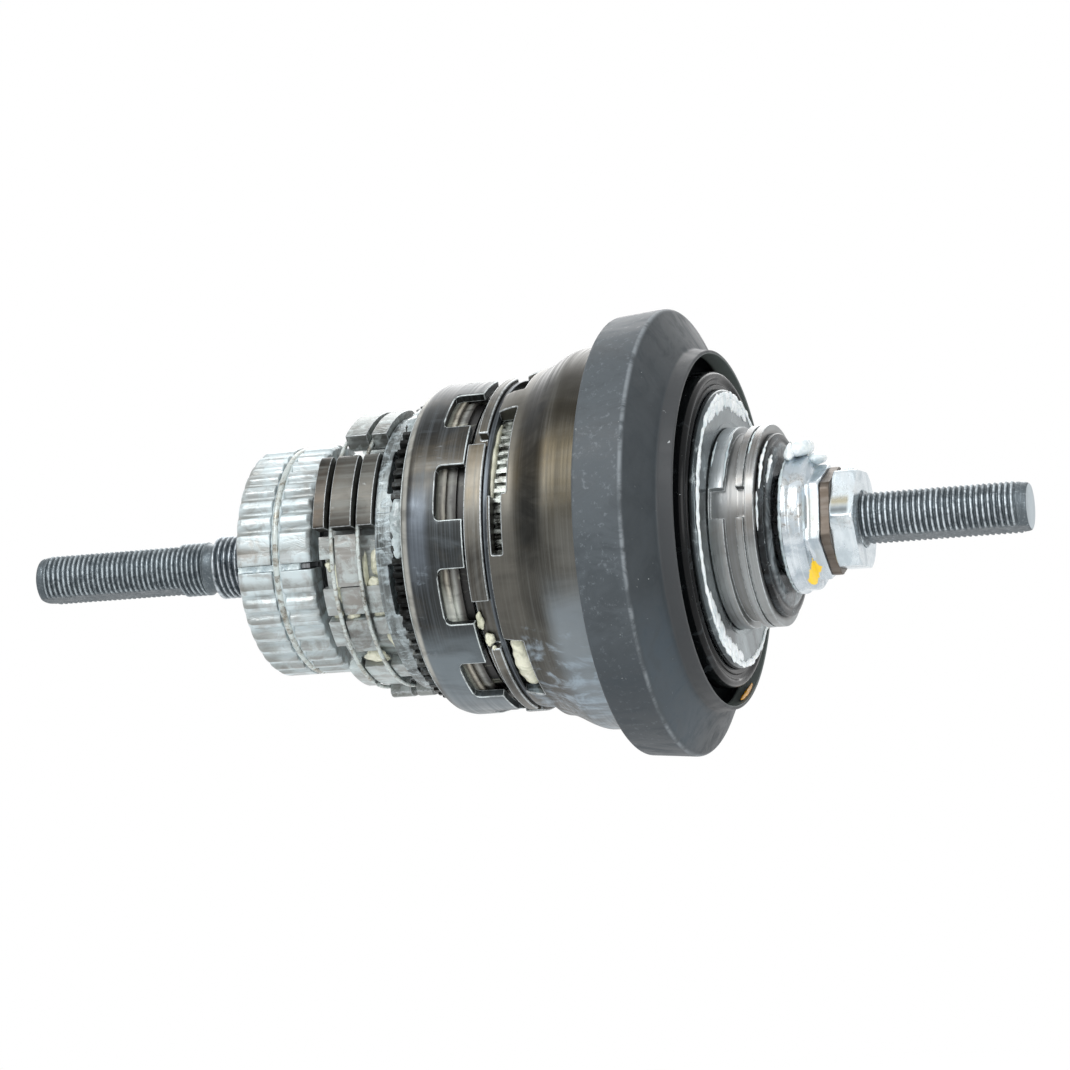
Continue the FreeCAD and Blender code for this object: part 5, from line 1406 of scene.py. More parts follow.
@dataclass
class Brake:
    """Four ribbed shoes round the cam, and their anchor and ring spring."""

    left: float = -45.0
    right: float = -30.9
    radius: float = 20.1
    inner: float = 15.0
    bevel: float = 1.2
    groove: Span = (-38.3, -36.5)
    groove_floor: float = 18.2
    recess_right: float = -42.7
    recess_radius: float = 17.8
    follower: float = 12.8
    follower_along: Span = (-42.0, -31.9)
    first_turn: float = 93.8
    sweep: float = 86.4
    count: int = 4
    flutes: int = 7
    flute_start: float = 13.3
    flute_pitch: float = 9.2
    flute_depth: float = 0.74
    flute_half: float = 1.9
    follower_half: float = 4.0  # half the follower's sweep, in degrees
    gap_fill: tuple[Span, Span] = ((-44.7, -33.2), (17.2, 19.7))

    def shoe(self, number: int) -> Piece:
        """One shoe: blocks whose outer radius dips by a smooth hollow at each flute.

        Args:
            number: Its place round the brake, from 0.

        Returns:
            The new object.
        """
        first = self.first_turn + number * FULL_TURN / self.count
        last, middle = first + self.sweep, first + self.sweep / 2
        follower = (middle - self.follower_half, middle + self.follower_half)
        turns = turn_marks(follower, 0.72, first, last)
        rim = [self.left, self.left + 0.45, self.left + self.bevel, self.right - 0.6, self.right]
        stations = [*rim[:3], self.recess_right, self.follower_along[0], *self.groove, -33.5,
                    self.follower_along[1], *rim[3:]]
        radii = [self.follower, self.inner, self.recess_radius, self.groove_floor, self.radius]
        blocks = Blocks(stations, radii, turns)
        blocks.fill((self.left, self.right), (self.inner, self.radius), (first, last))
        blocks.clear((self.left - 1, self.recess_right), (0, self.recess_radius), (first, last))
        blocks.clear(self.groove, (self.groove_floor, FAR), (first, last))
        blocks.fill(self.follower_along, (self.follower, self.inner), follower)
        centres = first + self.flute_start + self.flute_pitch * np.arange(self.flutes)
        away = np.min(np.abs(blocks.phi[..., None] - centres), axis=-1) / self.flute_half
        hollow = self.flute_depth * np.clip(1.25 * np.exp(-away ** 2) - 0.1, 0, 1)
        edge = np.interp(blocks.x, rim, [1.2, 0.55, 0.0, 0.0, 0.45])
        dip = np.maximum(hollow, edge) + 0.25 * np.minimum(hollow, edge)
        blocks.r = np.where(blocks.r >= self.radius - CLOSE, blocks.r - dip, blocks.r)
        return blocks.piece(f"ribbed_shoe_{number + 1}")

    def gap_grease(self, number: int) -> Piece:
        """Grease that fills a gap between two shoes, its top pushed by slow waves along the axle.

        Args:
            number: The gap's place round the brake, from 0.

        Returns:
            The new object.
        """
        width = FULL_TURN / self.count - self.sweep
        first = self.first_turn - width + number * FULL_TURN / self.count
        along, depth = self.gap_fill
        turns = np.linspace(first + 0.15, first + width - 0.15, 7)
        blocks = Blocks(np.linspace(*along, 48), depth, turns)
        blocks.fill(along, depth, (turns[0], turns[-1]))
        wave = ripple((blocks.x - self.left) * 0.7 + blocks.phi * 0.2, (1, 3, 5), 80 + number)
        sag = 0.25 * np.cos(np.radians((blocks.phi - first - width / 2) / width * 180.0))
        blocks.r = np.where(blocks.r > depth[0] + CLOSE, blocks.r + 0.28 * wave - sag, blocks.r)
        return blocks.piece(f"shoe_gap_grease_{number + 1}")

    def build(self) -> None:
        """Build the shoes, dress the anchor, cam and spring, and lay the grease."""
        for number in range(self.count):
            shoe = dress(soften(self.shoe(number), 0.16), SHOE)
            seat(shoe, f"shoe_{number + 1}", "shoe_steel", f"brake_shoe_{number + 1}")
        repaint(ANCHOR, "brake_anchor", "brake_cam")
        repaint(GREASED_WIRE, "shoe_ring_spring")
        body, slot = "axle_group", "spring_wire"
        shape = (19.0, (0.42, 0.72), (0.1, 0.2), (0.0, FULL_TURN), 360)
        grease(MILKY_GREASE, body, slot, *numbered(Bead, "shoe_groove_grease", 5, [
            (-37.92, *shape), (-36.82, *shape)]))
        for number in range(self.count):
            seat(dress(self.gap_grease(number), MILKY_GREASE), body, slot)


@dataclass
class Carrier:
    """The planet carrier: pawl ring, four pawls with their wires, slotted plate and cage."""

    core_left: float = -27.8
    row_left: Span = (-28.2, -26.1)
    row_middle: Span = (-25.1, -21.2)
    row_right: Span = (-20.2, -17.3)
    bore: float = 6.6
    floor: float = 18.4
    base: float = 20.6
    lug: float = 22.3
    land: float = 22.9
    pawl_inner: float = 20.9
    pawl_groove: float = 22.5
    pawl_outer: float = 25.2
    heel_room: float = 0.4
    plate: Span = (-17.3, -13.9)
    plate_radius: float = 24.0
    slot_count: int = 7
    slot_angle: float = 21.6
    slot_phi: float = 42.2
    slot_width: float = 1.25
    slot_floor: float = 21.6
    drive_turns: Span = (43.6, 33.7)  # first turn and sweep of a pawl
    second_turns: Span = (-3.0, 36.0)
    pawl_end: float = 5.0  # degrees of a pawl's heel and of its tip
    tip_rise: float = 1.2
    lumps: tuple[tuple[float, float, float, Triple], ...] = (
        (-27.0, 20.9, 92.5, (0.9, 0.8, 1.1)), (-25.6, 21.0, 101.0, (0.4, 0.8, 3.2)),
        (-20.5, 21.0, 97.0, (0.5, 0.8, 3.4)), (-19.0, 21.0, 102.5, (1.2, 0.9, 1.6)),
        (-18.4, 21.1, 93.0, (0.9, 0.7, 2.4)), (-24.0, 21.6, 117.0, (1.0, 0.7, 0.9)),
        (-19.0, 21.0, 117.0, (1.3, 0.7, 1.0)), (-22.6, 21.4, 143.0, (2.1, 0.9, 1.5)),
        (-18.0, 21.4, 133.0, (1.0, 0.8, 2.6)), (-26.8, 20.9, 117.0, (0.8, 0.7, 0.8)))

    def pawl_ring(self) -> Piece:
        """The ring's core, its two bases, and eleven lugs and lands a side.

        Returns:
            The new object.
        """
        left, middle, right = self.row_left, self.row_middle, self.row_right
        lugs = [(left, 79.6, 10.0, self.lug), (middle, 79.6, 22.4, self.land),
                (left, 102.8, 12.7, self.lug), (middle, 102.8, 12.7, self.lug),
                (right, 102.8, 12.7, self.lug), (left, 118.0, 13.0, self.land),
                (middle, 118.0, 17.0, self.land), (right, 118.0, 9.0, self.lug),
                (left, 147.0, 25.0, self.land), (middle, 146.0, 26.0, self.land),
                (right, 146.0, 12.0, self.land)]
        bases = [(79.5, 96.6), (35.2, 7.5)]
        halves = (0.0, 180.0)
        arcs = [(phi, angle) for _, phi, angle, _ in lugs] + bases
        breaks = [turn + half for half in halves for phi, angle in arcs
                  for turn in (phi, phi + angle)]
        stations = [left[0], self.core_left, left[1], middle[0], middle[1], right[0], right[1]]
        blocks = Blocks(stations, [self.bore, self.floor, self.base, self.lug, self.land],
                        turn_marks(breaks, 2.4, closed=True), closed=True)
        blocks.fill((self.core_left, right[1]), (self.bore, self.floor))
        for half in halves:
            for phi, angle in bases:
                blocks.fill((self.core_left, right[1]), (self.floor, self.base),
                            (phi + half, phi + half + angle))
            for span, phi, angle, top in lugs:
                blocks.fill(span, (self.base - 0.1, top), (phi + half, phi + half + angle))
        return blocks.piece("milled_pawl_ring")

    def pawl(self, name: str, phi: float, angle: float, stations: Sequence[float],
             grooves: Sequence[Span]) -> Piece:
        """A pawl: a curved block with wire grooves, a round heel and a chisel tip.

        In the heel's degrees the inner and outer radius close like half a circle, and the
        grooves deepen, so that the heel clears its wire as the pawl folds; in the tip's degrees
        the inner radius rises in a straight line.

        Args:
            name: The piece's name.
            phi, angle: Its first turn and its sweep.
            stations: Its stations.
            grooves: Stations of its wire grooves.

        Returns:
            The new object.
        """
        arc = (phi, phi + angle)
        blocks = Blocks(stations, [self.pawl_inner, self.pawl_groove, self.pawl_outer],
                        turn_marks([], 1.2, *arc))
        blocks.fill((stations[0], stations[-1]), (self.pawl_inner, self.pawl_outer), arc)
        for span in grooves:
            blocks.clear(span, (self.pawl_groove, FAR), arc)
        heel = np.clip((blocks.phi - phi) / self.pawl_end, 0.0, 1.0)
        half = 0.55 + 0.45 * np.sqrt(1 - (1 - heel) ** 2)
        centre = (self.pawl_inner + self.pawl_outer) / 2
        floor = np.abs(blocks.r - self.pawl_groove) < CLOSE
        blocks.r = np.where(floor, self.pawl_groove - self.heel_room * (1 - heel),
                            centre + (blocks.r - centre) * half)
        tip = np.clip((blocks.phi - (phi + angle - self.pawl_end)) / self.pawl_end, 0.0, 1.0)
        inner = blocks.r < self.pawl_inner + 0.5
        blocks.r = np.where(inner, blocks.r + self.tip_rise * tip, blocks.r)
        return blocks.piece(name)

    def slotted_plate(self) -> Piece:
        """The plate with long slots cut in its rim.

        Returns:
            The new object.
        """
        arcs = around(self.slot_phi, self.slot_angle, self.slot_count)
        left, right = self.plate
        floor = right - self.slot_width
        blocks = Blocks([left, floor, right], [self.bore, self.slot_floor, self.plate_radius],
                        turn_marks(np.ravel(arcs), 2.2, closed=True), closed=True)
        blocks.fill(self.plate, (self.bore, self.plate_radius))
        for arc in arcs:
            blocks.clear((floor, right), (self.slot_floor, FAR), arc)
        return blocks.piece("slotted_carrier_plate")

    def build(self) -> None:
        """Build the ring, pawls and plate, dress the cage and wires, and lay the grease."""
        body, steel = "carrier_group", "carrier_steel"
        seat(dress(soften(self.pawl_ring(), 0.22, 1), CARRIER, EDGE), body, steel, "pawl_ring")
        left, middle, right_end = self.row_left, self.row_middle, self.row_right[1] - 0.1
        wires = ((left[1], middle[0]), (middle[1], self.row_right[0]))
        wide = [left[0], *wires[0], *wires[1], right_end]
        narrow = [middle[0], *wires[1], right_end]
        for side, half in (("front", 0.0), ("rear", 180.0)):
            for kind, (phi, angle), stations, grooves, finish in (
                    ("drive", self.drive_turns, wide, wires, PAWL),
                    ("second", self.second_turns, narrow, wires[1:], MILKY_PAWL)):
                node = f"{kind}_pawl_{side}"
                pawl = self.pawl(f"{node}_block", phi + half, angle, stations, grooves)
                seat(dress(soften(pawl, 0.2, 1), finish, EDGE), node, "pawl_steel", node)
        plate = dress(soften(self.slotted_plate(), 0.22), PLATE)
        seat(plate, body, "plate_steel", "carrier_plate")
        repaint(GREASED_WIRE, "pawl_wire_left", "pawl_wire_right")
        repaint(CARRIER, "planet_cage")
        repaint(PIN, "planet_pin_1", "planet_pin_2", "planet_pin_3")
        grease(CREAM_GREASE, body, steel, *numbered(Lump, "pawl_grease", 20, self.lumps))


@dataclass
class Drum:
    """The window drum with its ratchet ring and the ring gear inside."""

    left: float = -11.2
    right: float = 0.3
    flange_right: float = -10.4
    bevel_right: float = -8.5
    radius: float = 29.0
    inner: float = 27.6
    bore: float = 24.7
    window_left: float = -4.7
    window_count: int = 10
    window_angle: float = 19.5
    window_phi: float = 60.0
    corner: float = 1.0

    def shell(self) -> Piece:
        """The drum, its left rim rounded and the windows' left corners curved.

        Near a window's left end its sides draw together by corner - sqrt(corner^2 - d^2), where
        d is how far the station still is from the corner's end.

        Returns:
            The new object.
        """
        arcs = around(self.window_phi, self.window_angle, self.window_count)
        turns = turn_marks(np.ravel(arcs), 1.6, closed=True)
        curve = self.window_left + self.corner * (1 - np.cos(np.linspace(0, math.pi / 2, 6)))
        rim = [self.left, self.left + 0.3, -10.7, self.flange_right, -9.7, -9.1, self.bevel_right]
        stations = [*rim, -7.0, -5.6, *curve.tolist(), -2.0, self.right]
        blocks = Blocks(stations, [self.bore, self.inner, self.radius], turns, closed=True)
        blocks.fill((self.left, self.flange_right), (self.bore, self.radius))
        blocks.fill((self.left, self.right), (self.inner, self.radius))
        for arc in arcs:
            blocks.clear((self.window_left, self.right + 1), (0, FAR), arc)
        rise = np.interp(blocks.x, rim, [27.5, 27.85, 28.15, 28.4, 28.7, 28.9, 29.0])
        blocks.r = np.where(blocks.r >= self.radius - CLOSE, rise, blocks.r)
        ahead = np.clip((self.window_left + self.corner - blocks.x) / self.corner, 0.0, 1.0)
        near = blocks.x >= self.window_left - CLOSE
        draw = np.degrees(self.corner * (1 - np.sqrt(1 - ahead ** 2)) / self.radius) * near
        pitch = FULL_TURN / self.window_count
        phase = (blocks.phi - self.window_phi) % pitch
        phase = np.where(phase > pitch - 1e-3, 0.0, phase)
        at_start, at_end = phase < 1e-3, np.abs(phase - self.window_angle) < 1e-3
        blocks.phi = blocks.phi + np.where(at_start, draw, 0.0) - np.where(at_end, draw, 0.0)
        return blocks.piece("window_drum_shell")

    def build(self) -> None:
        """Build the shell, dress the rings, and lay the grease."""
        shell = dress(soften(self.shell(), 0.17, 1, False), DRUM, MILKY_EDGE)
        seat(shell, "drum_group", "drum_steel", "window_drum")
        repaint(RATCHET, "ratchet_ring")
        repaint(LINER, "ring_gear_left")
        shape = (-12.5, 25.75, (1.2, 0.62), (0.1, 0.3))
        grease(GREY_GREASE, "drum_group", "drum_steel", *numbered(Bead, "ratchet_grease", 60, [
            (*shape, (67.5, 91.5), 120), (*shape, (14.0, 38.0), 120)]))


@dataclass
class Driver:
    """The driver: claw ring, circlip, cup, dust cap, seal, front plate and nose."""

    cup_left: float = 4.8
    shoulder: Span = (9.0, 16.5)
    swell: float = 1.2
    cup_right: float = 27.0
    rim_radius: float = 29.2
    body_radius: float = 33.1
    bore: float = 27.2
    cavity: float = 31.2
    cavity_left: float = 13.7
    hub: float = 10.6
    floor_left: float = 24.0
    corner: float = 1.2
    opening_count: int = 3
    openings: tuple[tuple[Span, Span], ...] = (
        ((38.7, 72.5), (4.8, 8.5)), ((72.5, 92.4), (5.5, 7.6)), ((122.0, 148.0), (4.8, 8.5)))
    notch_phi: float = 66.0
    notch_angle: float = 17.5
    notch_count: int = 3
    nose_bore: float = 8.6
    race: float = 13.71
    race_along: Span = (41.7, 47.7)
    notch_floor: float = 16.1
    notch_along: Span = (40.05, 46.2)
    nose_rings: tuple[tuple[Span, float], ...] = (
        ((23.2, 27.0), 10.6), ((27.0, 38.55), 22.6), ((38.55, 47.7), 16.1),
        ((39.85, 42.45), 17.3), ((44.55, 45.85), 17.3), ((45.85, 46.2), 16.8),
        ((46.2, 47.7), 17.3))
    claw_stations: Triple = (0.6, 2.0, 3.8)
    claw_radii: Triple = (25.4, 27.2, 29.1)
    claw_count: int = 3  # of each length
    long_claw: Span = (52.4, 55.5)  # first turn and sweep
    short_claw: Span = (126.0, 42.0)

    def claws(self) -> Piece:
        """A ring with three long and three short claws.

        Returns:
            The new object.
        """
        (long, short, right), (inner, ring, outer) = self.claw_stations, self.claw_radii
        arcs = {long: around(*self.long_claw, self.claw_count),
                short: around(*self.short_claw, self.claw_count)}
        turns = turn_marks(np.ravel(list(arcs.values())), 2.0, closed=True)
        blocks = Blocks(self.claw_stations, self.claw_radii, turns, closed=True)
        blocks.fill((long, right), (inner, ring))
        for left, spans in arcs.items():
            for span in spans:
                blocks.fill((left, right), (ring, outer), span)
        return blocks.piece("claw_ring_blocks")

    def circlip(self) -> Piece:
        """A flat ring open at the back.

        Returns:
            The new object.
        """
        x, r = (3.8, 4.8), (26.6, 28.5)
        return Blocks(x, r, turn_marks([], 2.0, 208.0, 560.0)).fill(x, r).piece("claw_ring_clip")

    def cup(self) -> Piece:
        """The bowl: its rim swells, then a soft shoulder carries it up to the body.

        The swelling is rim + swell (1 - e^(-distance from the left edge / 2)); the shoulder adds
        the rest by the smooth step 3 s^2 - 2 s^3 along it.

        Returns:
            The new object.
        """
        offsets = np.arange(self.opening_count) * FULL_TURN / self.opening_count
        slots = [((first + turn, last + turn), along)
                 for turn in offsets for (first, last), along in self.openings]
        turns = turn_marks(np.ravel([arc for arc, _ in slots]), 1.8, closed=True)
        shoulder = np.linspace(*self.shoulder, 16).tolist()
        stations = [self.cup_left, 5.5, 6.5, 7.6, 8.5, *shoulder, 20.0, self.floor_left,
                    self.cup_right - self.corner, self.cup_right]
        blocks = Blocks(stations, [self.hub, self.bore, self.rim_radius], turns, closed=True)
        blocks.fill((self.cup_left, self.cup_right), (self.bore, self.rim_radius))
        blocks.fill((self.floor_left, self.cup_right), (self.hub, self.bore))
        for arc, along in slots:
            blocks.clear(along, (0, FAR), arc)
        first, last = self.shoulder
        share = np.clip((blocks.x - first) / (last - first), 0, 1)
        swollen = self.rim_radius + self.swell * (1 - np.exp((self.cup_left - blocks.x) / 2.0))
        grown = swollen + (self.body_radius - swollen) * (3 * share ** 2 - 2 * share ** 3)
        at_right = blocks.x > self.cup_right - 0.1
        grown = np.where(at_right, self.body_radius - self.corner, grown)
        cavity = np.where(blocks.x > self.cavity_left, self.cavity, self.bore)
        top, inside = blocks.r >= self.rim_radius - CLOSE, np.abs(blocks.r - self.bore) < CLOSE
        blocks.r = np.where(top, grown, np.where(inside, cavity, blocks.r))
        return blocks.piece("turned_driver_cup")

    def nose(self) -> Piece:
        """The nose: three rings with grooves between them, notched across, over a ball race.

        Returns:
            The new object.
        """
        arcs = around(self.notch_phi, self.notch_angle, self.notch_count)
        turns = turn_marks(np.ravel(arcs), 2.0, closed=True)
        stations = [23.2, 27.0, 38.55, 39.85, 40.05, 41.7, 42.45, 44.55, 45.85, 46.2, 47.7]
        radii = [self.nose_bore, 10.6, self.race, self.notch_floor, 16.8, 17.3, 22.6]
        blocks = Blocks(stations, radii, turns, closed=True)
        for along, top in self.nose_rings:
            blocks.fill(along, (self.nose_bore, top))
        blocks.clear(self.race_along, (self.nose_bore, self.race))
        for arc in arcs:
            blocks.clear(self.notch_along, (self.notch_floor, FAR), arc)
        return blocks.piece("notched_driver_nose")

    @staticmethod
    def turned() -> tuple[Piece, ...]:
        """The cap, its seal, the front plate and the nose's seal, each turned from its outline.

        The cap is a wide tapered band, a sloped face, and a lip that turns forward.

        Returns:
            The four new objects.
        """
        cap = eased([
            (22.6, 37.9, 0.5), (31.0, 38.6, 0.4), (31.4, 38.3, 0.35), (35.1, 31.4, 0.3),
            (35.4, 31.2, 0.25), (37.7, 30.9, 0.15), (37.8, 30.6, 0.1), (37.8, 30.3, 0.15),
            (34.6, 30.2, 0.6), (30.6, 36.5, 0.6), (27.0, 36.2, 0.0), (27.0, 33.1, 0.0),
            (22.5, 33.1, 0.0), (22.5, 34.4, 0.3), (25.4, 34.4, 0.2), (25.4, 36.1, 0.3),
            (22.6, 36.4, 0.3)], 5)
        seal = eased([
            (35.35, 22.6, 0.0), (35.35, 27.2, 0.3), (38.05, 27.2, 0.5), (38.65, 26.7, 0.3),
            (38.65, 26.1, 0.2), (38.05, 25.6, 0.3), (38.1, 25.0, 0.2), (38.6, 24.8, 0.2),
            (38.55, 24.3, 0.1), (38.3, 22.6, 0.0)], 5)
        plate = eased([
            (38.55, 16.1, 0.0), (38.55, 24.0, 0.2), (39.5, 24.0, 0.35), (39.85, 23.5, 0.3),
            (39.85, 18.4, 0.2), (39.7, 18.1, 0.2), (39.7, 16.1, 0.0)])
        ring = eased([
            (47.2, 9.2, 0.1), (47.2, 13.6, 0.0), (47.7, 13.6, 0.0), (47.7, 15.8, 0.2),
            (48.7, 15.7, 0.3), (48.85, 14.8, 0.2), (48.7, 14.3, 0.2), (49.2, 13.4, 0.4),
            (49.2, 12.0, 0.4), (48.9, 9.2, 0.1)], 5)
        return (lathe("satin_dust_cap", cap, 256),
                lathe("lip_seal", seal, 220),
                lathe("pressed_front_plate", plate, 200),
                lathe("nose_seal_ring", ring, 160))

    def lay_grease(self, body: str) -> None:
        """Lay the grease in the openings and on the plate, nose and claws, and the paint mark.

        Args:
            body: The body that carries it.
        """
        grease(WHITE_GREASE, body, "front_plate_steel", *numbered(Bead, "front_plate_grease", 38, [
            (39.85, 23.1, (0.25, 0.55), (0.3, 0.55), (0.0, FULL_TURN), 420),
            (39.85, 22.0, (0.2, 1.5), (0.3, 0.55), (-32.0, 34.0), 150),
            (39.85, 21.9, (0.25, 1.5), (0.3, 0.55), (118.0, 176.0), 150),
            (39.85, 23.2, (0.22, 0.7), (0.3, 0.55), (50.0, 96.0), 150)]))
        # White grease beads on the seal's upper left, which also stand in for its glints as painted
        # highlight.
        grease(WHITE_GREASE, body, "seal_rubber", *numbered(Bead, "nose_seal_grease", 100, [
            (48.3, 15.75, (0.28, 0.28), (0.25, 0.6), (24.0, 66.0)),
            (49.0, 13.9, (0.35, 0.35), (0.25, 0.6), (30.0, 58.0)),
            (47.95, 15.9, (0.2, 0.2), (0.25, 0.6), (68.0, 92.0))]))
        grease(MILKY_GREASE, body, "nose_steel", *numbered(Bead, "nose_ring_grease", 110, [
            (x, 17.25, (0.2, 0.2), (0.08, 0.6), turns)
            for x, turns in ((42.5, (24.0, 62.0)), (40.1, (30.0, 52.0)), (46.3, (20.0, 44.0)))]))
        grease(CREAM_GREASE, body, "cup_steel", *numbered(Bead, "opening_grease", 50, [
            (5.0, 26.9, (0.45, 0.85), (0.15, 0.18), (40.0, 74.0)),
            (6.6, 27.9, (1.75, 0.85), (0.15, 0.18), (122.6, 147.4)),
            (5.0, 26.9, (0.45, 0.85), (0.15, 0.18), (160.0, 192.0)),
            (6.6, 27.9, (1.75, 0.85), (0.15, 0.18), (242.6, 267.4))]))
        grease(CREAM_GREASE, body, "cup_steel", *numbered(Lump, "claw_grease", 120, [
            (1.9, 27.9, 123.6, (0.9, 0.8, 1.1)), (2.6, 28.7, 126.6, (0.5, 0.4, 0.6)),
            (1.0, 27.6, 116.0, (0.6, 0.6, 1.4))]))
        grease(PAINT, body, "seal_rubber",
               Bead("seal_paint_mark", 90, 37.2, 29.8, (0.35, 0.45), (0.1, 0.4),
                    (188.0, 204.0), 40))

    def build(self) -> None:
        """Build the driver's visible pieces, dress the rest, and lay the grease."""
        body = "driver_group"
        for piece, width, slot, node, *finishes in (
                (self.claws(), 0.25, "cup_steel", "claw_ring", CLAW, EDGE),
                (self.circlip(), 0.18, "spring_wire", "claw_circlip", CLIP),
                (self.cup(), 0.22, "cup_steel", "driver_cup", CUP, EDGE),
                (self.nose(), 0.16, "nose_steel", "driver_nose", NOSE, EDGE)):
            softened = soften(piece, width, len(finishes) - 1)
            seat(dress(softened, *finishes), body, slot, node)
        cap, seal, plate, nose_seal = self.turned()
        for piece, slot, node, finish in (
                (cap, "cap_plastic", "dust_cap", CAP),
                (seal, "seal_rubber", "dust_seal", SEAL),
                (plate, "front_plate_steel", "front_plate", FRONT),
                (nose_seal, "seal_rubber", "nose_seal", NOSE_SEAL)):
            seat(dress(weigh(piece), finish), body, slot, node)
        repaint(SPLINE, "spline_ring")
        repaint(GEAR, "ring_gear_right")
        self.lay_grease(body)


@dataclass
class DriveSideHardware:
    """The cone, lock washer and locknut on the axle's right thread, with the bearing."""

    cone_across: float = 17.5
    cone_turn: float = 47.5
    washer_across: float = 16.6
    washer_turn: float = 47.5
    nut_across: float = 16.2
    nut_turn: float = 25.0
    hexagon_left: float = 54.3
    segments: int = 240

    @staticmethod
    def hexagon(across: float, corner_turn: float, rounding: float) -> Radius:
        """A radius held inside a hexagon: half its width over the cosine of the turn from a flat.

        Args:
            across: Width across the flats.
            corner_turn: Turn of one corner.
            rounding: How much the corners are cut down.

        Returns:
            A function of x, r and phi.
        """
        def held(_: Array, r: Array, phi: Array) -> Array:
            """The lesser of r, the hexagon and the cut-down corner."""
            flat = across / 2 / np.cos(np.radians((phi - corner_turn) % 60.0 - 30.0))
            return np.minimum(np.minimum(r, flat), across / math.sqrt(3.0) - rounding)
        return held

    def cone(self) -> Piece:
        """Flange, band and hexagon in one outline; the hexagon holds only past the band.

        Returns:
            The new object.
        """
        outline = eased([
            (42.9, 4.77, 0.0), (42.9, 7.0, 0.3), (46.6, 8.5, 0.2), (50.6, 8.5, 0.0),
            (50.6, 11.7, 0.2), (50.9, 12.0, 0.2), (51.7, 12.0, 0.15), (51.9, 11.75, 0.1),
            (52.1, 11.5, 0.1), (53.9, 11.5, 0.3), (54.3, 10.9, 0.1), (54.45, 10.6, 0.0),
            (55.4, 10.6, 0.0), (56.3, 10.6, 0.0), (56.45, 10.2, 0.0), (56.6, 9.8, 0.0),
            (56.7, 9.4, 0.0), (56.8, 9.0, 0.0), (56.8, 4.77, 0.0)])
        held = self.hexagon(self.cone_across, self.cone_turn, 0.12)

        def radius(x: Array, r: Array, phi: Array) -> Array:
            """The hexagon past the band, the outline before it."""
            return np.where(x > self.hexagon_left + 0.1, held(x, r, phi), r)
        return lathe("spanner_cone", outline, self.segments, radius)

    def build(self) -> None:
        """Build the cone, washer and nut, dress the bearing, and lay the grease."""
        body, slot = "axle_group", "zinc_steel"
        cone = self.cone()
        washer = lathe("six_sided_washer", eased([
            (56.8, 4.77, 0.0), (56.8, 9.2, 0.0), (56.95, 9.6, 0.0), (58.35, 9.6, 0.0),
            (58.5, 9.2, 0.0), (58.5, 4.77, 0.0)]),
            self.segments, self.hexagon(self.washer_across, self.washer_turn, 0.3))
        nut = lathe("zinc_locknut", eased([
            (58.5, 4.77, 0.0), (58.5, 8.6, 0.0), (58.6, 8.9, 0.0), (58.7, 9.1, 0.0),
            (58.85, 9.4, 0.0), (60.3, 9.4, 0.0), (61.9, 9.4, 0.0), (62.15, 9.2, 0.0),
            (62.35, 9.0, 0.0), (62.5, 8.8, 0.0), (62.6, 8.5, 0.1), (62.6, 5.05, 0.15),
            (62.3, 4.77, 0.0)]), self.segments, self.hexagon(self.nut_across, self.nut_turn, 0.1))
        for piece, finish, steel, node in ((cone, CONE_ZINC, slot, "right_cone"),
                                           (washer, WASHER, "washer_steel", "lock_washer"),
                                           (nut, ZINC, slot, "lock_nut")):
            seat(dress(weigh(piece), finish), body, steel, node)
        grease(MILKY_GREASE, body, slot,
               Bead("flange_grease", 150, 50.8, 11.72, (0.42, 0.26), (0.05, 0.3), steps=300))
        repaint(BALL, "bearing_balls")
        repaint(CAGE, "ball_cage")
        grease(WHITE_GREASE, body, slot, *numbered(Lump, "cone_grease", 70, [
            (52.5, 13.0, 3.0, (1.9, 1.6, 4.4), 0.14), (51.3, 12.9, 15.0, (0.9, 1.2, 3.0), 0.14),
            (54.9, 10.9, 356.0, (1.3, 1.1, 2.6), 0.14), (60.4, 8.4, 8.0, (1.4, 0.6, 1.8), 0.14)]))


@dataclass
class Gears:
    """What lies inside: suns, planets, pawls of the suns, sleeve and spring."""

    planets: int = 3

    def build(self) -> None:
        """Dress the inner solids."""
        planets = [f"planet_gear_{number + 1}" for number in range(self.planets)]
        repaint(GEAR, "sun_gear_locked", "sun_gear_free", *planets)
        repaint(PAWL, "sun_pawl_locked", "sun_pawl_free")
        repaint(ANCHOR, "shift_sleeve")
        repaint(WIRE, "return_spring")


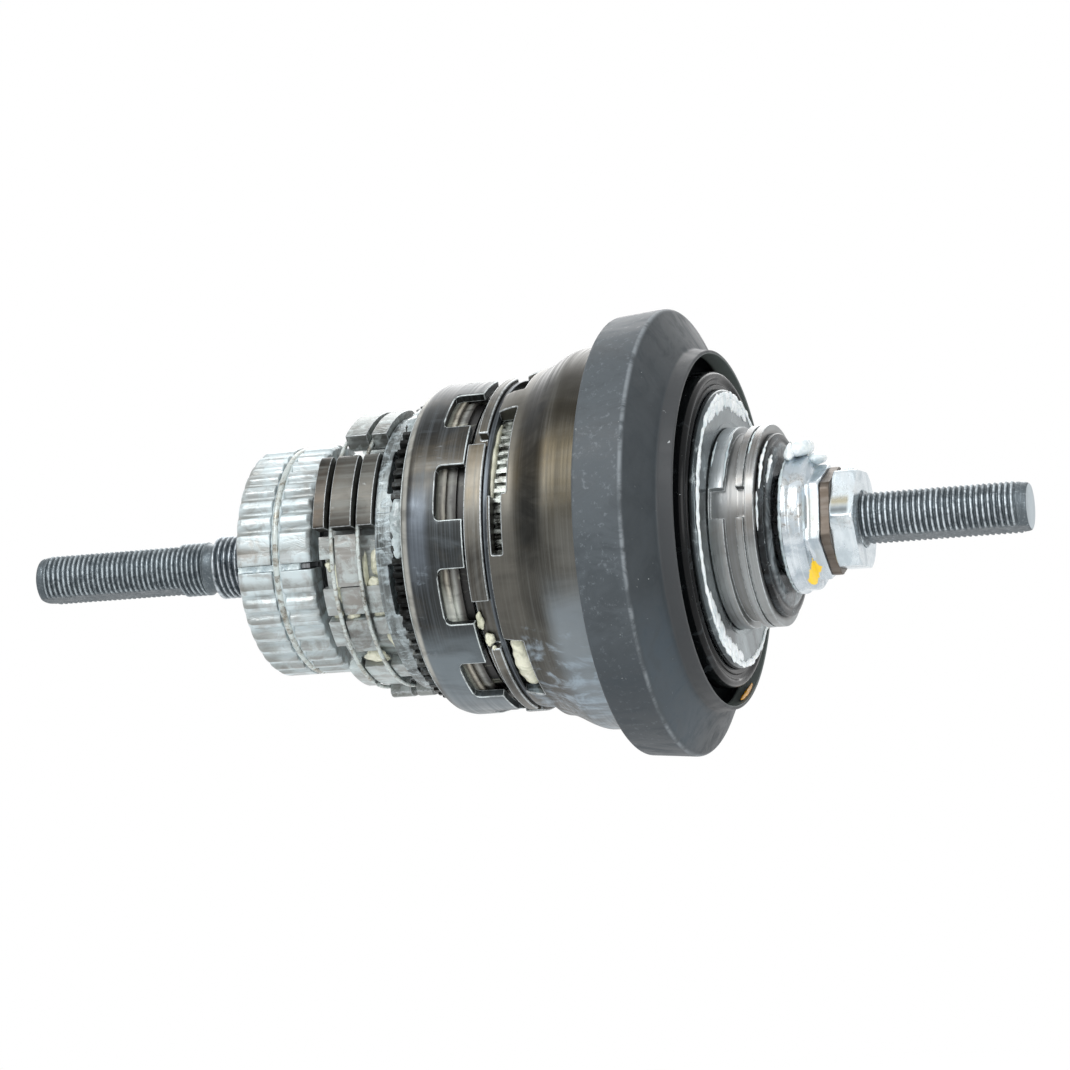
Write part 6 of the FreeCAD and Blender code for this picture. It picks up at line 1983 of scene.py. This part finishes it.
@dataclass
class Studio:
    """White surroundings, a pale floor that keeps the shadow, soft lamps and the camera.

    Attributes:
        location: The camera's place in metres.
        heading, tilt: How far the camera is turned about Z, and rolled, in degrees.
        lens, sensor: Its focal length and sensor width in millimetres.
        floor_height, floor_half: Height and half width of the floor in metres.
        floor_fade: Distances from the middle between which the floor fades into white.
        ambient: Strength of the surroundings as light.
        lamps: Name, place, size and watts of each lamp.
    """

    location: Triple = (0.21417, -0.62894, 0.00157)
    heading: float = 18.516
    tilt: float = 4.426
    lens: float = 127.96
    sensor: float = 36.0
    floor_height: float = -0.14
    floor_half: float = 1.6
    floor_fade: Span = (0.16, 0.36)
    floor_grey: float = 0.94
    ambient: float = 0.62
    lamps: tuple[tuple[str, Triple, float, float], ...] = (
        ("key_lamp", (-0.35, -0.75, 0.75), 0.6, 7.0),
        ("fill_lamp", (0.75, -0.5, 0.25), 0.6, 3.0),
        ("back_lamp", (-0.2, 0.8, 0.5), 0.7, 3.5))

    @staticmethod
    def stand(name: str, data: bpy.types.ID, axes: Sequence[Sequence[float]], at: Triple) -> Piece:
        """Put a camera or lamp in the scene.

        Args:
            name: Its name.
            data: The camera or lamp.
            axes: Its right, up and back directions.
            at: Its place in metres.

        Returns:
            The new object.
        """
        piece = bpy.data.objects.new(name, data)
        rows = [[axis[i] for axis in axes] + [at[i]] for i in range(3)]
        piece.matrix_world = Matrix(rows + [[0.0, 0.0, 0.0, 1.0]])
        bpy.context.scene.collection.objects.link(piece)
        return piece

    def camera(self) -> None:
        """Set the camera by its right, up and back directions."""
        heading, tilt = math.radians(self.heading), math.radians(self.tilt)
        ahead, aside = math.cos(heading), math.sin(heading)
        right = (ahead * math.cos(tilt), aside * math.cos(tilt), -math.sin(tilt))
        up = (ahead * math.sin(tilt), aside * math.sin(tilt), math.cos(tilt))
        data = bpy.data.cameras.new("camera")
        data.lens, data.sensor_width = self.lens, self.sensor
        data.clip_start, data.clip_end = 0.01, 20.0
        bpy.context.scene.camera = self.stand("camera", data, (right, up, (aside, -ahead, 0.0)),
                                              self.location)

    def lamp(self, name: str, at: Triple, size: float, watts: float) -> None:
        """A square soft lamp that looks at the middle of the object.

        Args:
            name: Its name.
            at: Its place in metres.
            size: Its width in metres.
            watts: Its power.
        """
        data = bpy.data.lights.new(name, "AREA")
        data.size, data.energy = size, watts
        back = np.array(at) / np.linalg.norm(at)
        side = np.cross((0.0, 0.0, 1.0), back)
        side = side / np.linalg.norm(side)
        self.stand(name, data, (side, np.cross(back, side), back), at)

    @staticmethod
    def seen(nodes: Nodes) -> Socket:
        """1 for rays from the camera, off a glossy surface or through a clear one, otherwise 0.

        Args:
            nodes: The tree's nodes.

        Returns:
            The mask.
        """
        path = nodes.node("ShaderNodeLightPath").outputs
        total = path["Is Camera Ray"]
        for name in ("Is Glossy Ray", "Is Transmission Ray"):
            total = nodes.math("MAXIMUM", total, path[name])
        return total

    def world(self) -> None:
        """White where it is seen or mirrored, and a plain grey level as light."""
        world = bpy.data.worlds.new("studio")
        world.use_nodes = True
        bpy.context.scene.world = world
        nodes = Nodes(world.node_tree)
        strength = nodes.node("ShaderNodeMapRange", {0: self.seen(nodes), 3: self.ambient, 4: 1.0})
        background = world.node_tree.nodes["Background"]
        background.inputs[0].default_value = (1.0, 1.0, 1.0, 1.0)
        nodes.give(background.inputs[1], strength.outputs[0])

    def floor(self) -> None:
        """A pale plane, plain near the object and fading into the white surroundings."""
        half, height = self.floor_half / MM, self.floor_height / MM
        corners = [[-half, -half, height], [half, -half, height], [half, half, height],
                   [-half, half, height]]
        plane = make_piece("floor", np.array(corners), [[0, 1, 2, 3]])
        material = bpy.data.materials.new("pale_floor")
        material.use_nodes = True
        material.node_tree.nodes.clear()
        nodes = Nodes(material.node_tree)
        place_at = nodes.node("ShaderNodeTexCoord").outputs["Object"]
        away = nodes.node("ShaderNodeVectorMath", {0: place_at}, operation="LENGTH")
        fade = nodes.span(away.outputs["Value"], *self.floor_fade)
        diffuse = nodes.node("ShaderNodeBsdfDiffuse")
        diffuse.inputs[0].default_value = (*[self.floor_grey] * 3, 1.0)
        glow = nodes.node("ShaderNodeEmission", {1: 1.0})
        both = nodes.node("ShaderNodeMixShader", {0: nodes.times(fade, self.seen(nodes)),
                                                  1: diffuse.outputs[0], 2: glow.outputs[0]})
        nodes.node("ShaderNodeOutputMaterial", {0: both.outputs[0]})
        plane.data.materials.append(material)

    def build(self) -> None:
        """Set up the whole studio."""
        bpy.context.scene.view_settings.view_transform = "Standard"
        self.camera()
        self.world()
        self.floor()
        for lamp in self.lamps:
            self.lamp(*lamp)


def main() -> None:
    """Build every sub-assembly in order."""
    logging.basicConfig(level=logging.INFO, format="%(name)s: %(message)s")
    for part in (Studio(), Axle(), Brake(), Carrier(), Drum(), Driver(), DriveSideHardware(),
                 Gears()):
        part.build()
        log.info("%s is built", type(part).__name__)


if __name__ == "__main__":
    main()
